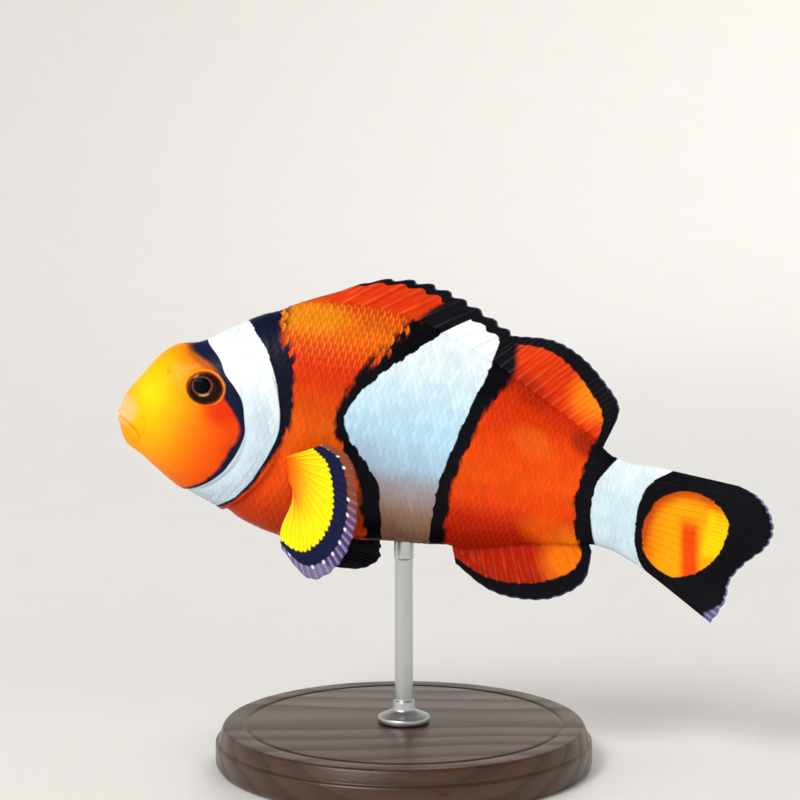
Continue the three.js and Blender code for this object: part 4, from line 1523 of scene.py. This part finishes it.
def studio_camera(settings):
    """A long lens, level with the fish and tilted a little down."""
    optics = bpy.data.cameras.new("camera")
    optics.lens = 100
    optics.sensor_width = 36
    optics.clip_start = 0.01
    camera = bpy.data.objects.new("camera", optics)
    bpy.context.scene.collection.objects.link(camera)
    tilt = math.radians(settings.camera_tilt)
    back = np.array([0, -math.cos(tilt), math.sin(tilt)]) * settings.camera_distance
    camera.location = np.array(VIEW_MIDDLE) + back
    camera.rotation_euler = (math.pi / 2 - tilt, 0, 0)
    bpy.context.scene.camera = camera


def stage_pieces(context):
    """The floor, the soft lights, the even light of the room and the camera."""
    scene, settings = context.scene, context.scene.clownfish_stage
    studio_floor(settings)
    for name, place, size, shows in LIGHTS:
        soft_light(name, place, size, getattr(settings, name), shows)
    world = bpy.data.worlds.new("studio")
    scene.world = world
    world.use_nodes = True
    sky = world.node_tree.nodes["Background"].inputs
    sky["Color"].default_value = SKY_COLOUR
    sky["Strength"].default_value = settings.sky
    scene.view_settings.view_transform = "Standard"
    studio_camera(settings)


# ---- the add-on ------------------------------------------------------------------------------
def colour_of(name, description, code):
    given = {"name": name, "description": description, "default": paint(code)}
    return FloatVectorProperty(subtype="COLOR", min=0, max=1, **given)


def length_of(name, description, value):
    return FloatProperty(name=name, description=description, unit="LENGTH", min=0, default=value)


def power_of(name, description, value):
    return FloatProperty(name=name, description=description, unit="POWER", default=value)


def spaces_of(name, between, count):
    """How many spaces a fin has between its spines or rays."""
    return IntProperty(name=name, description=f"Spaces between {between}", default=count)


class ClownfishSizes(bpy.types.PropertyGroup):
    scale_length: length_of("Scale length", "Distance from one scale to the next along the body", 0.00080)
    scale_height: length_of("Scale row height", "Distance from one row of scales to the next", 0.00093)
    scale_lift: length_of("Scale lift", "How far a scale's rear edge stands off the skin", 0.00008)
    pupil_radius: length_of("Pupil radius", "Radius of the pupil", 0.001)
    spines: spaces_of("Dorsal spines", "spines of the front dorsal fin", 10)
    soft_rays: spaces_of("Soft dorsal rays", "rays of the rear dorsal fin", 15)
    anal_rays: spaces_of("Anal rays", "rays of the anal fin", 14)
    tail_rays: spaces_of("Tail rays", "rays of the tail fin", 17)
    pectoral_rays: spaces_of("Pectoral rays", "rays of a pectoral fin", 14)
    pelvic_rays: spaces_of("Pelvic rays", "rays of a pelvic fin", 7)
    base_bevel: length_of("Base bevel", "Bevel round the top of the stand's base", 0.0010)
    rod_radius: length_of("Rod radius", "Radius of the stand's rod", 0.0012)


class ClownfishColours(bpy.types.PropertyGroup):
    orange: colour_of("Orange", "Orange of the body and the fins' roots", "f25c06")
    black: colour_of("Black", "Edges of the bands and fins", "08070e")
    white: colour_of("White", "The bands", "f4fbfc")
    wood: colour_of("Wood", "The stand's base", "3c2413")


class ClownfishStage(bpy.types.PropertyGroup):
    floor: colour_of("Floor", "The pale floor", "e9e7e3")
    key: power_of("Key light", "Power of the light from the upper left", 9.2)
    glint: power_of("Glint", "Power of the small light in the eye", 0.5)
    fill: power_of("Fill light", "Power of the light from the right", 5.0)
    back: power_of("Back light", "Power of the light from behind", 6.0)
    front: power_of("Front light", "Power of the light on the face", 2.0)
    sky: FloatProperty(name="Sky", description="Strength of the even light from all round", default=0.21)
    camera_tilt: FloatProperty(name="Camera tilt", description="Degrees down", default=6.0)
    camera_distance: length_of("Camera distance", "From the camera to the middle of the view", 0.268)


class CLOWNFISH_OT_skin(bpy.types.Operator):
    """Make the one skin that covers head, gill covers, trunk and tail stalk"""

    bl_idname = "clownfish.skin"
    bl_label = "Skin"

    def execute(self, context):
        skin_piece(context)
        return {"FINISHED"}


class CLOWNFISH_OT_scales(bpy.types.Operator):
    """Lay the overlapping scales on both flanks"""

    bl_idname = "clownfish.scales"
    bl_label = "Scales"

    def execute(self, context):
        for side in (-1, 1):
            scale_coat(context, side)
        return {"FINISHED"}


class CLOWNFISH_OT_eyes(bpy.types.Operator):
    """Make both eyes with iris, lens and clear dome"""

    bl_idname = "clownfish.eyes"
    bl_label = "Eyes"

    def execute(self, context):
        for side in (-1, 1):
            eye_pieces(context, side)
        return {"FINISHED"}


class CLOWNFISH_OT_median_fins(bpy.types.Operator):
    """Make the dorsal, anal and tail fins"""

    bl_idname = "clownfish.median_fins"
    bl_label = "Dorsal, anal and tail fins"

    def execute(self, context):
        median_fins(context)
        return {"FINISHED"}


class CLOWNFISH_OT_paired_fins(bpy.types.Operator):
    """Make the pectoral and pelvic fins of both sides"""

    bl_idname = "clownfish.paired_fins"
    bl_label = "Pectoral and pelvic fins"

    def execute(self, context):
        for side in (-1, 1):
            paired_fins(context, side)
        return {"FINISHED"}


class CLOWNFISH_OT_stand(bpy.types.Operator):
    """Make the turned base and the steel post"""

    bl_idname = "clownfish.stand"
    bl_label = "Display stand"

    def execute(self, context):
        base_piece(context)
        post_piece(context)
        return {"FINISHED"}


class CLOWNFISH_OT_stage(bpy.types.Operator):
    """Set up the pale floor, the soft lights and the camera"""

    bl_idname = "clownfish.stage"
    bl_label = "Stage"

    def execute(self, context):
        stage_pieces(context)
        return {"FINISHED"}


OPERATORS = (
    CLOWNFISH_OT_skin, CLOWNFISH_OT_scales, CLOWNFISH_OT_eyes, CLOWNFISH_OT_median_fins,
    CLOWNFISH_OT_paired_fins, CLOWNFISH_OT_stand, CLOWNFISH_OT_stage,
)


class CLOWNFISH_PT_panel(bpy.types.Panel):
    """Lists what makes the fish"""

    bl_label = "Clown anemonefish"
    bl_space_type = "VIEW_3D"
    bl_region_type = "UI"
    bl_category = "Clownfish"

    def draw(self, context):
        for operator in OPERATORS:
            self.layout.operator(operator.bl_idname)
        scene = context.scene
        for group in (scene.clownfish, scene.clownfish_colours, scene.clownfish_stage):
            box = self.layout.box()
            for name in group.__annotations__:
                box.prop(group, name)


CLASSES = (ClownfishSizes, ClownfishColours, ClownfishStage, *OPERATORS, CLOWNFISH_PT_panel)


def register():
    for one in CLASSES:
        bpy.utils.register_class(one)
    bpy.types.Scene.clownfish = PointerProperty(type=ClownfishSizes)
    bpy.types.Scene.clownfish_colours = PointerProperty(type=ClownfishColours)
    bpy.types.Scene.clownfish_stage = PointerProperty(type=ClownfishStage)


def unregister():
    del bpy.types.Scene.clownfish_stage
    del bpy.types.Scene.clownfish_colours
    del bpy.types.Scene.clownfish
    for one in reversed(CLASSES):
        bpy.utils.unregister_class(one)


def main():
    register()
    make = bpy.ops.clownfish
    make.skin()
    make.scales()
    make.eyes()
    make.median_fins()
    make.paired_fins()
    make.stand()
    make.stage()


if __name__ == "__main__":
    main()
